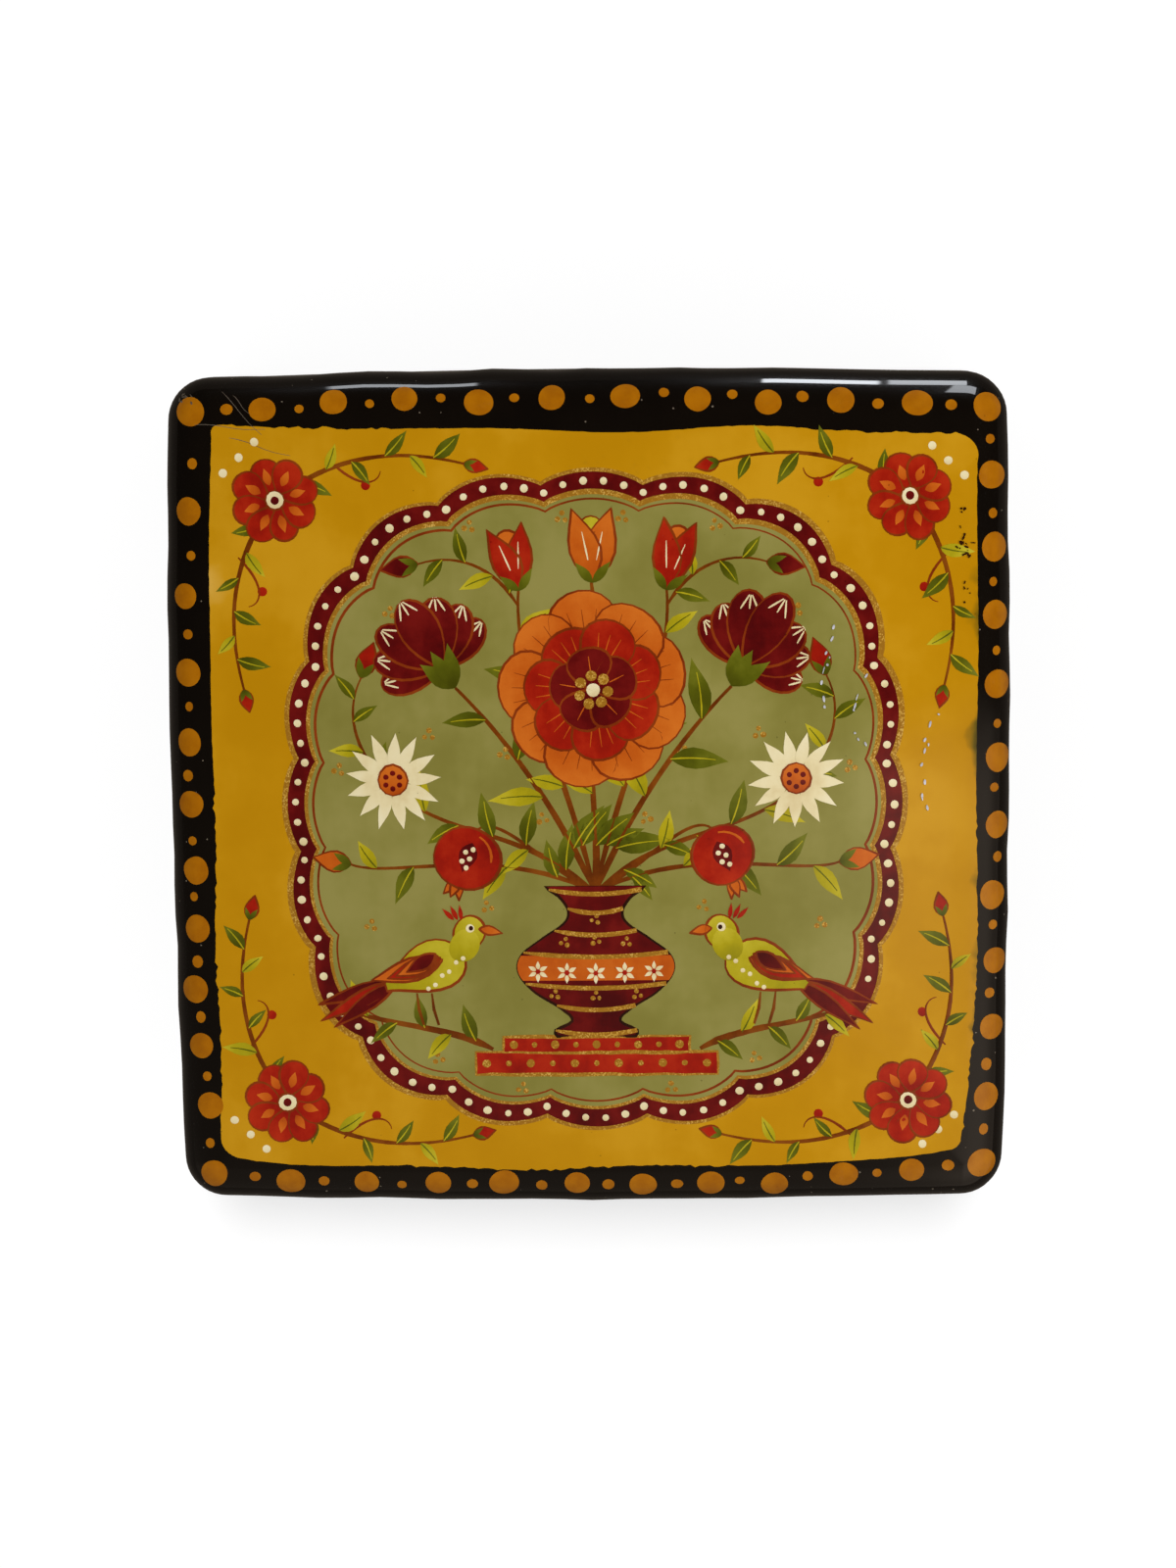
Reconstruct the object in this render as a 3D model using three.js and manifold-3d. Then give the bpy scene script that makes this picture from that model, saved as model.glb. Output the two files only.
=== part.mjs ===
// Lacquered papier-mache jewellery box with a pillow-topped lid on two let-in brass hinges.
// Millimetres, +Z up. The origin is the centre of the base's underside. +X is the box's right and
// +Y its back, where the hinges are. The box is modelled closed.

import * as THREE from "three";
import { mergeVertices } from "three/addons/utils/BufferGeometryUtils.js";
import Module from "manifold-3d";

const wasm = await Module();
wasm.setup();

// Plan of the lid, measured at the middle of its bowed sides
const lidWidth = 90;
const lidDepth = 90;
const cornerRadius = 4.5;
const leastCornerRadius = 0.5;
const sideBow = 0.6;

// Lid shell: an upright rim, a rounded shoulder and a low crown
const lidRimHeight = 6;
const shoulderRadius = 4;
const crownRise = 1.2;
const lidTopThickness = 3;

// Walls, wound from pasted paper, and the pressed base that they stand on
const lidOverhang = 0.5;
const wallThickness = 3.2;
const wallHeight = 26;
const wallEdgeRounding = 0.4;
const baseThickness = 4;
const baseEdgeRadius = 1.5;
const baseStepHeight = 1;

// Collar of bent card inside the walls, which the lid closes over on three sides
const collarThickness = 1.2;
const collarRise = 2.5;
const collarSeat = 9;
const collarEdgeRounding = 0.3;
const collarBackRelief = 7;

// Linings: a velvet pad on the base and a velvet-covered card in the lid
const padThickness = 1.8;
const padCrown = 0.8;
const padEdgeRadius = 0.9;
const lidLiningThickness = 1;

// Hinges: three rolled knuckles on a pin, with flat leaves let into slots in both rims
const hingeSpacing = 48;
const knuckleRadius = 1.5;
const knuckleLength = 4.4;
const pinRadius = 0.6;
const pinEndChamfer = 0.15;
const leafThickness = 0.7;
const leafCornerRadius = 1;
const backBevel = THREE.MathUtils.degToRad(52);

// Nails that hold each leaf, driven from inside the box
const nailRadius = 0.4;
const nailHeadRadius = 0.9;
const nailHeadHeight = 0.4;
const nailTipLength = 0.6;
const nailTipCover = 0.7;
const nailSpacing = 7.4;

// Fits
const seamGap = 0.2;
const glueLine = 0.05;
const liningClearance = 0.3;
const collarClearance = 0.4;
const slotClearance = 0.15;
const knuckleClearance = 0.3;
const knuckleGap = 0.2;
const pinClearance = 0.1;
const nailClearance = 0.05;

// Steps along curves
const sideSteps = 12;
const cornerSteps = 6;
const shoulderSteps = 7;
const crownSteps = 8;
const edgeSteps = 4;
const hingeSides = 20;
const nailSides = 12;

// Insets from the lid's outline, and heights, that follow from the sizes above
const wallInset = lidOverhang;
const wallInnerInset = wallInset + wallThickness;
const collarInset = wallInnerInset + glueLine;
const lidHollowInset = collarInset - collarClearance;
const baseTop = baseThickness;
const stepTop = baseTop + baseStepHeight;
const wallBottom = baseTop + glueLine;
const seamHeight = wallBottom + wallHeight;
const lidBottom = seamHeight + seamGap;
const lidHollowDepth = lidRimHeight + shoulderRadius - lidTopThickness;

// Hinge line, in the middle of the back wall's thickness and of the seam
const hingeY = lidDepth / 2 - wallInset - wallThickness / 2;
const hingeZ = seamHeight + seamGap / 2;
const hingeLength = 3 * knuckleLength + 2 * knuckleGap;
const knuckleSeatRadius = knuckleRadius + knuckleClearance;
const leafReach = lidRimHeight;
const nailReach = (knuckleSeatRadius + leafReach) / 2;

// Finishes
const blackLacquer = finish(0x0d0a08, 0.12, 0);
const redLacquer = finish(0x7c1410, 0.3, 0);
const wineVelvet = finish(0x4a0a10, 0.95, 0);
const brass = finish(0xb08a3c, 0.35, 1);

function finish(color, roughness, metalness) {
  return new THREE.MeshStandardMaterial({ color, roughness, metalness });
}

// Half width, half depth and corner radius of the plan, a given inset inside the lid's outline.
function planAt(inset) {
  return {
    halfX: lidWidth / 2 - inset,
    halfY: lidDepth / 2 - inset,
    radius: Math.max(cornerRadius - inset, leastCornerRadius),
  };
}

// How far a side of the given run, from its middle to its corner, has bowed back at a distance along it.
function bowAt(along, run) {
  return sideBow * (along / run) ** 2;
}

// The back face of the plan at x, a given inset inside the lid's outline.
function backFaceAt(inset, x) {
  const { halfX, halfY, radius } = planAt(inset);
  return halfY - bowAt(x, halfX - sideBow - radius);
}

// The plan's outline, counter-clockwise: four bowed sides joined by corner arcs.
function outline(inset) {
  const { halfX, halfY, radius } = planAt(inset);
  const runX = halfX - sideBow - radius;
  const runY = halfY - sideBow - radius;
  const points = [];
  const quarters = [
    { run: runY, reach: halfX, corner: [runX, runY] },
    { run: runX, reach: halfY, corner: [-runX, runY] },
    { run: runY, reach: halfX, corner: [-runX, -runY] },
    { run: runX, reach: halfY, corner: [runX, -runY] },
  ];
  quarters.forEach(({ run, reach, corner }, quarter) => {
    const turn = (quarter * Math.PI) / 2;
    for (let i = 0; i < sideSteps; i++) {
      const along = run * ((2 * i) / sideSteps - 1);
      const out = new THREE.Vector2(reach - bowAt(along, run), along);
      points.push(out.rotateAround(new THREE.Vector2(), turn));
    }
    for (let i = 0; i < cornerSteps; i++) {
      const angle = turn + ((i / cornerSteps) * Math.PI) / 2;
      const x = corner[0] + radius * Math.cos(angle);
      const y = corner[1] + radius * Math.sin(angle);
      points.push(new THREE.Vector2(x, y));
    }
  });
  return points;
}

// One level ring of the plan at a height.
function ringAt(inset, z) {
  return outline(inset).map((p) => new THREE.Vector3(p.x, p.y, z));
}

// Quads between rings of equal length, listed from the outside's bottom upwards.
function bands(rings, closed) {
  const count = rings[0].length;
  const index = [];
  const last = closed ? rings.length : rings.length - 1;
  for (let r = 0; r < last; r++) {
    const here = r * count;
    const above = ((r + 1) % rings.length) * count;
    for (let i = 0; i < count; i++) {
      const j = (i + 1) % count;
      index.push(here + i, here + j, above + j, here + i, above + j, above + i);
    }
  }
  return index;
}

function geometryOf(points, index) {
  const positions = new Float32Array(points.flatMap((p) => p.toArray()));
  const geometry = new THREE.BufferGeometry();
  geometry.setAttribute("position", new THREE.BufferAttribute(positions, 3));
  geometry.setIndex(index);
  return geometry;
}

// A closed solid through rings from bottom to top, with a fan over each end.
function loft(rings, topCentre) {
  const count = rings[0].length;
  const points = rings.flat();
  const index = bands(rings, false);
  const bottom = points.length;
  const top = bottom + 1;
  points.push(new THREE.Vector3(0, 0, rings[0][0].z), topCentre);
  const lastRing = (rings.length - 1) * count;
  for (let i = 0; i < count; i++) {
    const j = (i + 1) % count;
    index.push(bottom, j, i, top, lastRing + i, lastRing + j);
  }
  return geometryOf(points, index);
}

// A closed frame that follows the plan: the profile is pairs of inset and height, outer face first, going up.
function frame(profile) {
  const rings = profile.map(([inset, z]) => ringAt(inset, z));
  return geometryOf(rings.flat(), bands(rings, true));
}

// Pairs of inset and height round a quarter edge that turns in over the top of an upright face.
function roundedEdge(inset, z, radius, steps) {
  const pairs = [];
  for (let i = 0; i <= steps; i++) {
    const angle = ((i / steps) * Math.PI) / 2;
    pairs.push([inset + radius * (1 - Math.cos(angle)), z - radius * (1 - Math.sin(angle))]);
  }
  return pairs;
}

// A plate that follows the plan.
function plate(inset, z, thickness) {
  return loft([ringAt(inset, z), ringAt(inset, z + thickness)], new THREE.Vector3(0, 0, z + thickness));
}

// A ring drawn in towards the middle, lifted by a crown that dies out at the ring's own sides.
function crownedRing(ring, share, rise) {
  const reachX = Math.max(...ring.map((p) => p.x));
  const reachY = Math.max(...ring.map((p) => p.y));
  const fall = (t) => Math.max(0, 1 - t * t) ** 1.5;
  return ring.map((p) => {
    const x = p.x * share;
    const y = p.y * share;
    return new THREE.Vector3(x, y, p.z + rise * fall(x / reachX) * fall(y / reachY));
  });
}

// A crowned top over upright sides: rounded edge first, then rings drawn in to the middle.
function crownedRings(inset, top, edgeRadius, rise, steps) {
  const edge = roundedEdge(inset, top, edgeRadius, steps).map(([d, z]) => ringAt(d, z));
  const rim = edge[edge.length - 1];
  const crown = [];
  for (let i = 1; i < crownSteps; i++) {
    crown.push(crownedRing(rim, 1 - i / crownSteps, rise));
  }
  return [...edge, ...crown];
}

function solidFrom(geometry) {
  const bare = geometry.index ? geometry.toNonIndexed() : geometry.clone();
  bare.deleteAttribute("normal");
  bare.deleteAttribute("uv");
  const merged = mergeVertices(bare, 1e-4);
  return new wasm.Manifold(
    new wasm.Mesh({
      numProp: 3,
      vertProperties: merged.attributes.position.array,
      triVerts: new Uint32Array(merged.index.array),
    }),
  );
}

function geometryFrom(solid) {
  const { numProp, vertProperties, triVerts } = solid.getMesh();
  const points = [];
  for (let i = 0; i < vertProperties.length; i += numProp) {
    points.push(new THREE.Vector3(...vertProperties.subarray(i, i + 3)));
  }
  return geometryOf(points, [...triVerts]);
}

// A geometry less each of the tools.
function cut(geometry, tools) {
  const whole = solidFrom(geometry);
  return geometryFrom(tools.reduce((left, tool) => left.subtract(solidFrom(tool)), whole));
}

function joined(geometries) {
  return geometryFrom(geometries.map(solidFrom).reduce((sum, next) => sum.add(next)));
}

function mesh(name, geometry, material) {
  const shaded = geometry.toNonIndexed();
  shaded.computeVertexNormals();
  const made = new THREE.Mesh(shaded, material);
  made.name = name;
  return made;
}

// A round bar along X, centred on a point of the hinge line.
function barAlongX(radius, length, x, sides) {
  const bar = new THREE.CylinderGeometry(radius, radius, length, sides);
  return bar.rotateZ(Math.PI / 2).translate(x, 0, 0);
}

// A round bar along Y between two values of y.
function barAlongY(radius, from, to, x, z) {
  const bar = new THREE.CylinderGeometry(radius, radius, to - from, nailSides);
  return bar.translate(x, (from + to) / 2, z);
}

// The hinges' middles and the nails' places along each.
const hinges = [
  { side: "left", x: -hingeSpacing / 2 },
  { side: "right", x: hingeSpacing / 2 },
];
const nailPlaces = hinges.flatMap(({ side, x }) =>
  [-1, 1].map((way, i) => ({ side, number: i + 1, x: x + (way * nailSpacing) / 2 })),
);

// What the back rims give up to the hinges. A rim above the seam has way 1, and the one below has way -1.
function rimCuts(way, faceInset) {
  const tools = [];
  for (const { x } of hinges) {
    const seat = barAlongX(knuckleSeatRadius, hingeLength + 2 * knuckleClearance, x, hingeSides);
    tools.push(seat.translate(0, hingeY, hingeZ));
    const slotHeight = leafReach + slotClearance;
    const slot = new THREE.BoxGeometry(
      hingeLength + 2 * slotClearance,
      leafThickness + 2 * slotClearance,
      slotHeight,
    );
    tools.push(slot.translate(x, hingeY, hingeZ + (way * slotHeight) / 2));
  }
  const hole = nailRadius + nailClearance;
  for (const { x } of nailPlaces) {
    const inside = backFaceAt(faceInset.inner, x) - nailHeadHeight;
    const tip = backFaceAt(faceInset.outer, x) - nailTipCover + nailClearance;
    tools.push(barAlongY(hole, inside, tip, x, hingeZ + way * nailReach));
  }
  tools.push(bevelTool(way));
  return tools;
}

// The wedge taken off a back rim outside the hinge line, which lets the lid swing and then stops it.
function bevelTool(way) {
  const edge = way * (seamGap / 2);
  const beyond = lidDepth / 2 - hingeY + 1;
  const rise = way * beyond * Math.tan(backBevel);
  const wedge = new THREE.Shape([
    new THREE.Vector2(0, edge),
    new THREE.Vector2(beyond, edge + rise),
    new THREE.Vector2(beyond, -edge),
    new THREE.Vector2(0, -edge),
  ]);
  const length = lidWidth + 2;
  const prism = new THREE.ExtrudeGeometry(wedge, { depth: length, bevelEnabled: false });
  prism.rotateX(Math.PI / 2).rotateZ(Math.PI / 2);
  return prism.translate(-length / 2, hingeY, hingeZ);
}

// The walls: one wound frame, open above and below.
function wallFrame() {
  const outer = roundedEdge(wallInset, seamHeight, wallEdgeRounding, edgeSteps);
  const tube = frame([
    [wallInset, wallBottom],
    ...outer,
    [wallInnerInset, seamHeight],
    [wallInnerInset, wallBottom],
  ]);
  return cut(tube, rimCuts(-1, { inner: wallInnerInset, outer: wallInset }));
}

// The base: a pressed plate with a rounded lower edge and a step that locates the walls.
function basePlate() {
  const lowerEdge = roundedEdge(wallInset, 0, baseEdgeRadius, edgeSteps)
    .map(([inset, z]) => ringAt(inset, -z))
    .reverse();
  const stepInset = wallInnerInset + liningClearance;
  const rings = [
    ...lowerEdge,
    ringAt(wallInset, baseTop),
    ringAt(stepInset, baseTop),
    ringAt(stepInset, stepTop),
  ];
  return loft(rings, new THREE.Vector3(0, 0, stepTop));
}

// The collar: a card strip bent round the front and the two sides.
function innerCollar() {
  const top = seamHeight + collarRise;
  const bottom = seamHeight - collarSeat;
  const innerInset = collarInset + collarThickness;
  const innerEdge = roundedEdge(0, top, collarEdgeRounding, edgeSteps).reverse();
  const ring = frame([
    [collarInset, bottom],
    ...roundedEdge(collarInset, top, collarEdgeRounding, edgeSteps),
    ...innerEdge.map(([inset, z]) => [innerInset - inset, z]),
    [innerInset, bottom],
  ]);
  const gapY = lidDepth / 2 - lidHollowInset - collarBackRelief;
  const back = new THREE.BoxGeometry(lidWidth, lidDepth, collarSeat + collarRise + 2);
  back.translate(0, gapY + lidDepth / 2, (top + bottom) / 2);
  return cut(ring, [back]);
}

// The velvet pad on the base: upright sides, a soft edge and a low crown.
function basePad() {
  const inset = wallInnerInset + liningClearance;
  const bottom = stepTop + glueLine;
  const top = bottom + padThickness;
  const rings = crownedRings(inset, top, padEdgeRadius, padCrown, edgeSteps);
  return loft([ringAt(inset, bottom), ...rings], new THREE.Vector3(0, 0, top + padCrown));
}

// The lid's moulded shell: rim, shoulder and crown outside, one flat-roofed hollow inside.
function lidShell() {
  const shoulderTop = lidRimHeight + shoulderRadius;
  const rings = crownedRings(0, shoulderTop, shoulderRadius, crownRise, shoulderSteps);
  const outside = loft([ringAt(0, 0), ...rings], new THREE.Vector3(0, 0, shoulderTop + crownRise));
  const hollow = plate(lidHollowInset, -1, lidHollowDepth + 1);
  const backCuts = rimCuts(1, { inner: lidHollowInset, outer: 0 });
  return cut(outside, [hollow, ...backCuts.map((tool) => tool.translate(0, 0, -lidBottom))]);
}

// The card under the lid's roof.
function lidLining() {
  const bottom = lidHollowDepth - glueLine - lidLiningThickness;
  return plate(lidHollowInset + liningClearance, bottom, lidLiningThickness);
}

// One leaf of a hinge about its own line: way -1 hangs below with two end knuckles, way 1 stands above with one.
function hingeLeaf(way, knuckles) {
  const half = hingeLength / 2;
  const middle = knuckleLength / 2;
  const tabs = way < 0 ? [[-half, -middle - knuckleGap], [middle + knuckleGap, half]] : [[-middle, middle]];
  const plateShape = new THREE.Shape();
  plateShape.moveTo(-half, knuckleSeatRadius);
  for (const [from, to] of tabs) {
    plateShape.lineTo(from, knuckleSeatRadius).lineTo(from, 0).lineTo(to, 0).lineTo(to, knuckleSeatRadius);
  }
  plateShape.lineTo(half, knuckleSeatRadius);
  const cornerZ = leafReach - leafCornerRadius;
  plateShape.absarc(half - leafCornerRadius, cornerZ, leafCornerRadius, 0, Math.PI / 2);
  plateShape.absarc(leafCornerRadius - half, cornerZ, leafCornerRadius, Math.PI / 2, Math.PI);
  plateShape.closePath();
  const options = { depth: leafThickness, bevelEnabled: false, curveSegments: edgeSteps };
  const leaf = new THREE.ExtrudeGeometry(plateShape, options);
  leaf.rotateX(Math.PI / 2).translate(0, leafThickness / 2, 0);
  if (way < 0) leaf.rotateY(Math.PI);
  const barrels = knuckles.map((x) => barAlongX(knuckleRadius, knuckleLength, x, hingeSides));
  const bore = barAlongX(pinRadius + pinClearance, hingeLength + 2, 0, hingeSides);
  const holes = [-1, 1].map((end) =>
    barAlongY(
      nailRadius + nailClearance,
      -leafThickness,
      leafThickness,
      (end * nailSpacing) / 2,
      way * nailReach,
    ),
  );
  return cut(joined([leaf, ...barrels]), [bore, ...holes]);
}

// The pin: a rod along X with broken ends.
function hingePin() {
  const half = hingeLength / 2 + knuckleClearance / 2;
  const profile = [
    new THREE.Vector2(0, -half),
    new THREE.Vector2(pinRadius - pinEndChamfer, -half),
    new THREE.Vector2(pinRadius, pinEndChamfer - half),
    new THREE.Vector2(pinRadius, half - pinEndChamfer),
    new THREE.Vector2(pinRadius - pinEndChamfer, half),
    new THREE.Vector2(0, half),
  ];
  return new THREE.LatheGeometry(profile, hingeSides).rotateZ(Math.PI / 2);
}

// A nail along +Y with its low domed head's seat at the origin.
function nail(length) {
  const profile = [
    new THREE.Vector2(0, -nailHeadHeight),
    new THREE.Vector2(nailHeadRadius * 0.6, -nailHeadHeight * 0.85),
    new THREE.Vector2(nailHeadRadius, -nailHeadHeight * 0.3),
    new THREE.Vector2(nailHeadRadius, 0),
    new THREE.Vector2(nailRadius, 0),
    new THREE.Vector2(nailRadius, length - nailTipLength),
    new THREE.Vector2(0, length),
  ];
  return new THREE.LatheGeometry(profile, nailSides);
}

// The nails of one rim, each seated on the inside of the back wall.
function nailsFor(part, way, faceInset) {
  return nailPlaces.map(({ side, number, x }) => {
    const seat = backFaceAt(faceInset.inner, x) - nailClearance;
    const tip = backFaceAt(faceInset.outer, x) - nailTipCover;
    const made = mesh(`${part}_nail_${side}_${number}`, nail(tip - seat), brass);
    made.position.set(x, seat, hingeZ + way * nailReach);
    return made;
  });
}

const box = new THREE.Group();

box.add(mesh("base_plate", basePlate(), blackLacquer));
box.add(mesh("wall_frame", wallFrame(), blackLacquer));
box.add(mesh("inner_collar", innerCollar(), redLacquer));
box.add(mesh("base_pad", basePad(), wineVelvet));

const lid = new THREE.Group();
lid.position.z = lidBottom;
lid.add(mesh("lid_shell", lidShell(), blackLacquer));
lid.add(mesh("lid_lining", lidLining(), wineVelvet));
box.add(lid);

const endKnuckle = knuckleLength + knuckleGap;
for (const { side, x } of hinges) {
  const hinge = new THREE.Group();
  hinge.position.set(x, hingeY, hingeZ);
  hinge.add(mesh(`${side}_hinge_box_leaf`, hingeLeaf(-1, [-endKnuckle, endKnuckle]), brass));
  hinge.add(mesh(`${side}_hinge_lid_leaf`, hingeLeaf(1, [0]), brass));
  hinge.add(mesh(`${side}_hinge_pin`, hingePin(), brass));
  box.add(hinge);
}
box.add(...nailsFor("wall", -1, { inner: wallInnerInset, outer: wallInset }));
box.add(...nailsFor("lid", 1, { inner: lidHollowInset, outer: 0 }));

export default box;
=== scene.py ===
"""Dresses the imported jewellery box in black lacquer, hand-laid paint, velvet and brass.

Lengths of the pieces are in metres in the row frame. The painting is laid out in millimetres about the
middle of the lid, as it would be on the bench, and is brought to metres when its layers are built.
"""

import logging
import math
import random
from collections.abc import Callable, Iterator, Sequence
from contextlib import contextmanager
from dataclasses import dataclass, field
from enum import Enum

import bmesh
import bpy
from mathutils import Matrix, Vector

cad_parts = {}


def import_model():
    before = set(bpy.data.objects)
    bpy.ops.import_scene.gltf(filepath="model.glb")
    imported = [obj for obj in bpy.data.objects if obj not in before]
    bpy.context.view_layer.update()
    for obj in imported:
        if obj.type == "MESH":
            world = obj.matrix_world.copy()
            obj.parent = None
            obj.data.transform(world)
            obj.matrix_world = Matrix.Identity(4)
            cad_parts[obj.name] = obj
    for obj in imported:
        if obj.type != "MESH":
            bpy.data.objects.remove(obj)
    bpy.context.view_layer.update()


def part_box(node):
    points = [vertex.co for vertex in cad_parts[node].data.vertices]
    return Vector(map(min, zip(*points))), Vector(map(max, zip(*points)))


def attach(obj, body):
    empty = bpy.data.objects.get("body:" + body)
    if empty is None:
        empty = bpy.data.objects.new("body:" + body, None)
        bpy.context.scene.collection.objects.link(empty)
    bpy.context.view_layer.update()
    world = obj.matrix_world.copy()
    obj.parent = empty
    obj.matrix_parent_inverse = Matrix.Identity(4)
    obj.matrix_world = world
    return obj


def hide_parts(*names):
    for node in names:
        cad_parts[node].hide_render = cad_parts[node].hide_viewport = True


LOG = logging.getLogger("jewellery_box")
MM = 0.001
QUARTER = math.pi / 2
SAME = 1e-7
LEVEL = 0.9
NEAR = 0.05 * MM

Colour = tuple[float, float, float, float]
Material = bpy.types.Material
Piece = bpy.types.Object
Pair = tuple[float, float]
Pairs = tuple[Pair, ...]
Place = Sequence[float]
Socket = bpy.types.NodeSocket


def screen(red: int, green: int, blue: int) -> Colour:
    """Turn a colour read on screen, from 0 to 255, into the linear one that shaders take."""
    shares = [value / 255 for value in (red, green, blue)]
    return (*(s / 12.92 if s <= 0.04045 else ((s + 0.055) / 1.055) ** 2.4 for s in shares), 1.0)


def deselect_all() -> None:
    """Leave edit mode and clear the selection."""
    if bpy.context.object is not None and bpy.context.object.mode != "OBJECT":
        bpy.ops.object.mode_set(mode="OBJECT")
    bpy.ops.object.select_all(action="DESELECT")


def make_active(*pieces: Piece) -> None:
    """Select pieces alone and make the first of them the active one.

    Args:
        pieces: The pieces.
    """
    deselect_all()
    for piece in pieces:
        piece.select_set(True)
    bpy.context.view_layer.objects.active = pieces[0]


@contextmanager
def editing(piece: Piece, mode: str) -> Iterator[None]:
    """Hold a piece in edit mode with nothing selected.

    Args:
        piece: The piece to edit.
        mode: VERT, EDGE or FACE.

    Yields:
        Nothing. The piece leaves edit mode afterwards.
    """
    make_active(piece)
    bpy.ops.object.mode_set(mode="EDIT")
    bpy.ops.mesh.select_mode(type=mode)
    bpy.ops.mesh.select_all(action="DESELECT")
    yield
    bpy.ops.object.mode_set(mode="OBJECT")


def pick(piece: Piece, kind: str, test: Callable[..., bool]) -> None:
    """Select what passes a test on the piece in edit mode.

    Args:
        piece: The piece.
        kind: The mesh's verts, edges or faces.
        test: Tells of each of them whether it is wanted.
    """
    mesh = bmesh.from_edit_mesh(piece.data)
    for part in getattr(mesh, kind):
        part.select_set(test(part))
    bmesh.update_edit_mesh(piece.data)


def apply_modifier(piece: Piece, kind: str, **settings: object) -> None:
    """Add a modifier and apply it at once.

    Args:
        piece: The piece.
        kind: The modifier's type.
        settings: Its settings.
    """
    make_active(piece)
    modifier = piece.modifiers.new(kind.title(), kind)
    for name, value in settings.items():
        setattr(modifier, name, value)
    bpy.ops.object.modifier_apply(modifier=modifier.name)


def cut_away(piece: Piece, tool: Piece) -> None:
    """Cut a tool's shape out of a piece and drop the tool."""
    apply_modifier(piece, "BOOLEAN", operation="DIFFERENCE", object=tool, solver="EXACT")
    bpy.data.objects.remove(tool)


def shade(piece: Piece, degrees: float = 30.0) -> Piece:
    """Shade a piece smooth, except over edges sharper than an angle.

    Args:
        piece: The piece.
        degrees: The angle.

    Returns:
        The piece.
    """
    make_active(piece)
    bpy.ops.object.shade_smooth_by_angle(angle=math.radians(degrees))
    return piece


def settle(piece: Piece, name: str) -> Piece:
    """Put a piece's place into its mesh and name both.

    Args:
        piece: The piece.
        name: Its name.

    Returns:
        The piece.
    """
    make_active(piece)
    bpy.ops.object.transform_apply(location=True, rotation=True, scale=True)
    piece.name = piece.data.name = name
    return piece


def cylinder(
    name: str, at: Place, radius: float, length: float, sides: int, turn: Place = (0, QUARTER, 0)
) -> Piece:
    """Add a cylinder to start from.

    Args:
        name: Its name.
        at: Its middle.
        radius: Its radius.
        length: Its length.
        sides: Its count of sides.
        turn: How it is turned from upright, along X as a rule.

    Returns:
        The cylinder.
    """
    deselect_all()
    bpy.ops.mesh.primitive_cylinder_add(
        vertices=sides, radius=radius, depth=length, location=at, rotation=turn
    )
    return settle(bpy.context.object, name)


def block(name: str, at: Place, size: Place) -> Piece:
    """Add a block to start from.

    Args:
        name: Its name.
        at: Its middle.
        size: Its sides along the three axes.

    Returns:
        The block.
    """
    deselect_all()
    bpy.ops.mesh.primitive_cube_add(size=1, location=at)
    bpy.context.object.scale = size
    return settle(bpy.context.object, name)


def join(pieces: Sequence[Piece], name: str) -> Piece:
    """Join pieces into the first of them.

    Args:
        pieces: What to join.
        name: The joined piece's name.

    Returns:
        The joined piece.
    """
    make_active(*pieces)
    if len(pieces) > 1:
        bpy.ops.object.join()
    pieces[0].name = pieces[0].data.name = name
    return pieces[0]


def place_ring(piece: Piece, ring: Sequence[Vector]) -> None:
    """Move the selected ring of the piece in edit mode to its places.

    Args:
        piece: The piece.
        ring: The places, in the order of the vertices' seats.
    """
    mesh = bmesh.from_edit_mesh(piece.data)
    seat = mesh.verts.layers.int["seat"]
    for vert in mesh.verts:
        if vert.select:
            vert.co = ring[vert[seat]]
    bmesh.update_edit_mesh(piece.data)


def loft(name: str, rings: Sequence[Sequence[Vector]]) -> Piece:
    """Extrude a circle from ring to ring. Rings that share a place are merged, which closes poles and tubes.

    Args:
        name: The piece's name.
        rings: Rings of equal length, in order.

    Returns:
        The closed piece.
    """
    deselect_all()
    bpy.ops.mesh.primitive_circle_add(vertices=len(rings[0]), radius=MM)
    piece = bpy.context.object
    piece.name = piece.data.name = name
    bpy.ops.object.mode_set(mode="EDIT")
    bpy.ops.mesh.select_mode(type="VERT")
    bpy.ops.mesh.select_all(action="SELECT")
    mesh = bmesh.from_edit_mesh(piece.data)
    seat = mesh.verts.layers.int.new("seat")
    for number, vert in enumerate(mesh.verts):
        vert[seat] = number
    bmesh.update_edit_mesh(piece.data)
    place_ring(piece, rings[0])
    for ring in rings[1:]:
        bpy.ops.mesh.extrude_region_move()
        place_ring(piece, ring)
    bpy.ops.mesh.select_all(action="SELECT")
    bpy.ops.mesh.remove_doubles(threshold=SAME)
    bpy.ops.mesh.normals_make_consistent(inside=False)
    bpy.ops.object.mode_set(mode="OBJECT")
    piece.data.attributes.remove(piece.data.attributes["seat"])
    return piece


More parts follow.
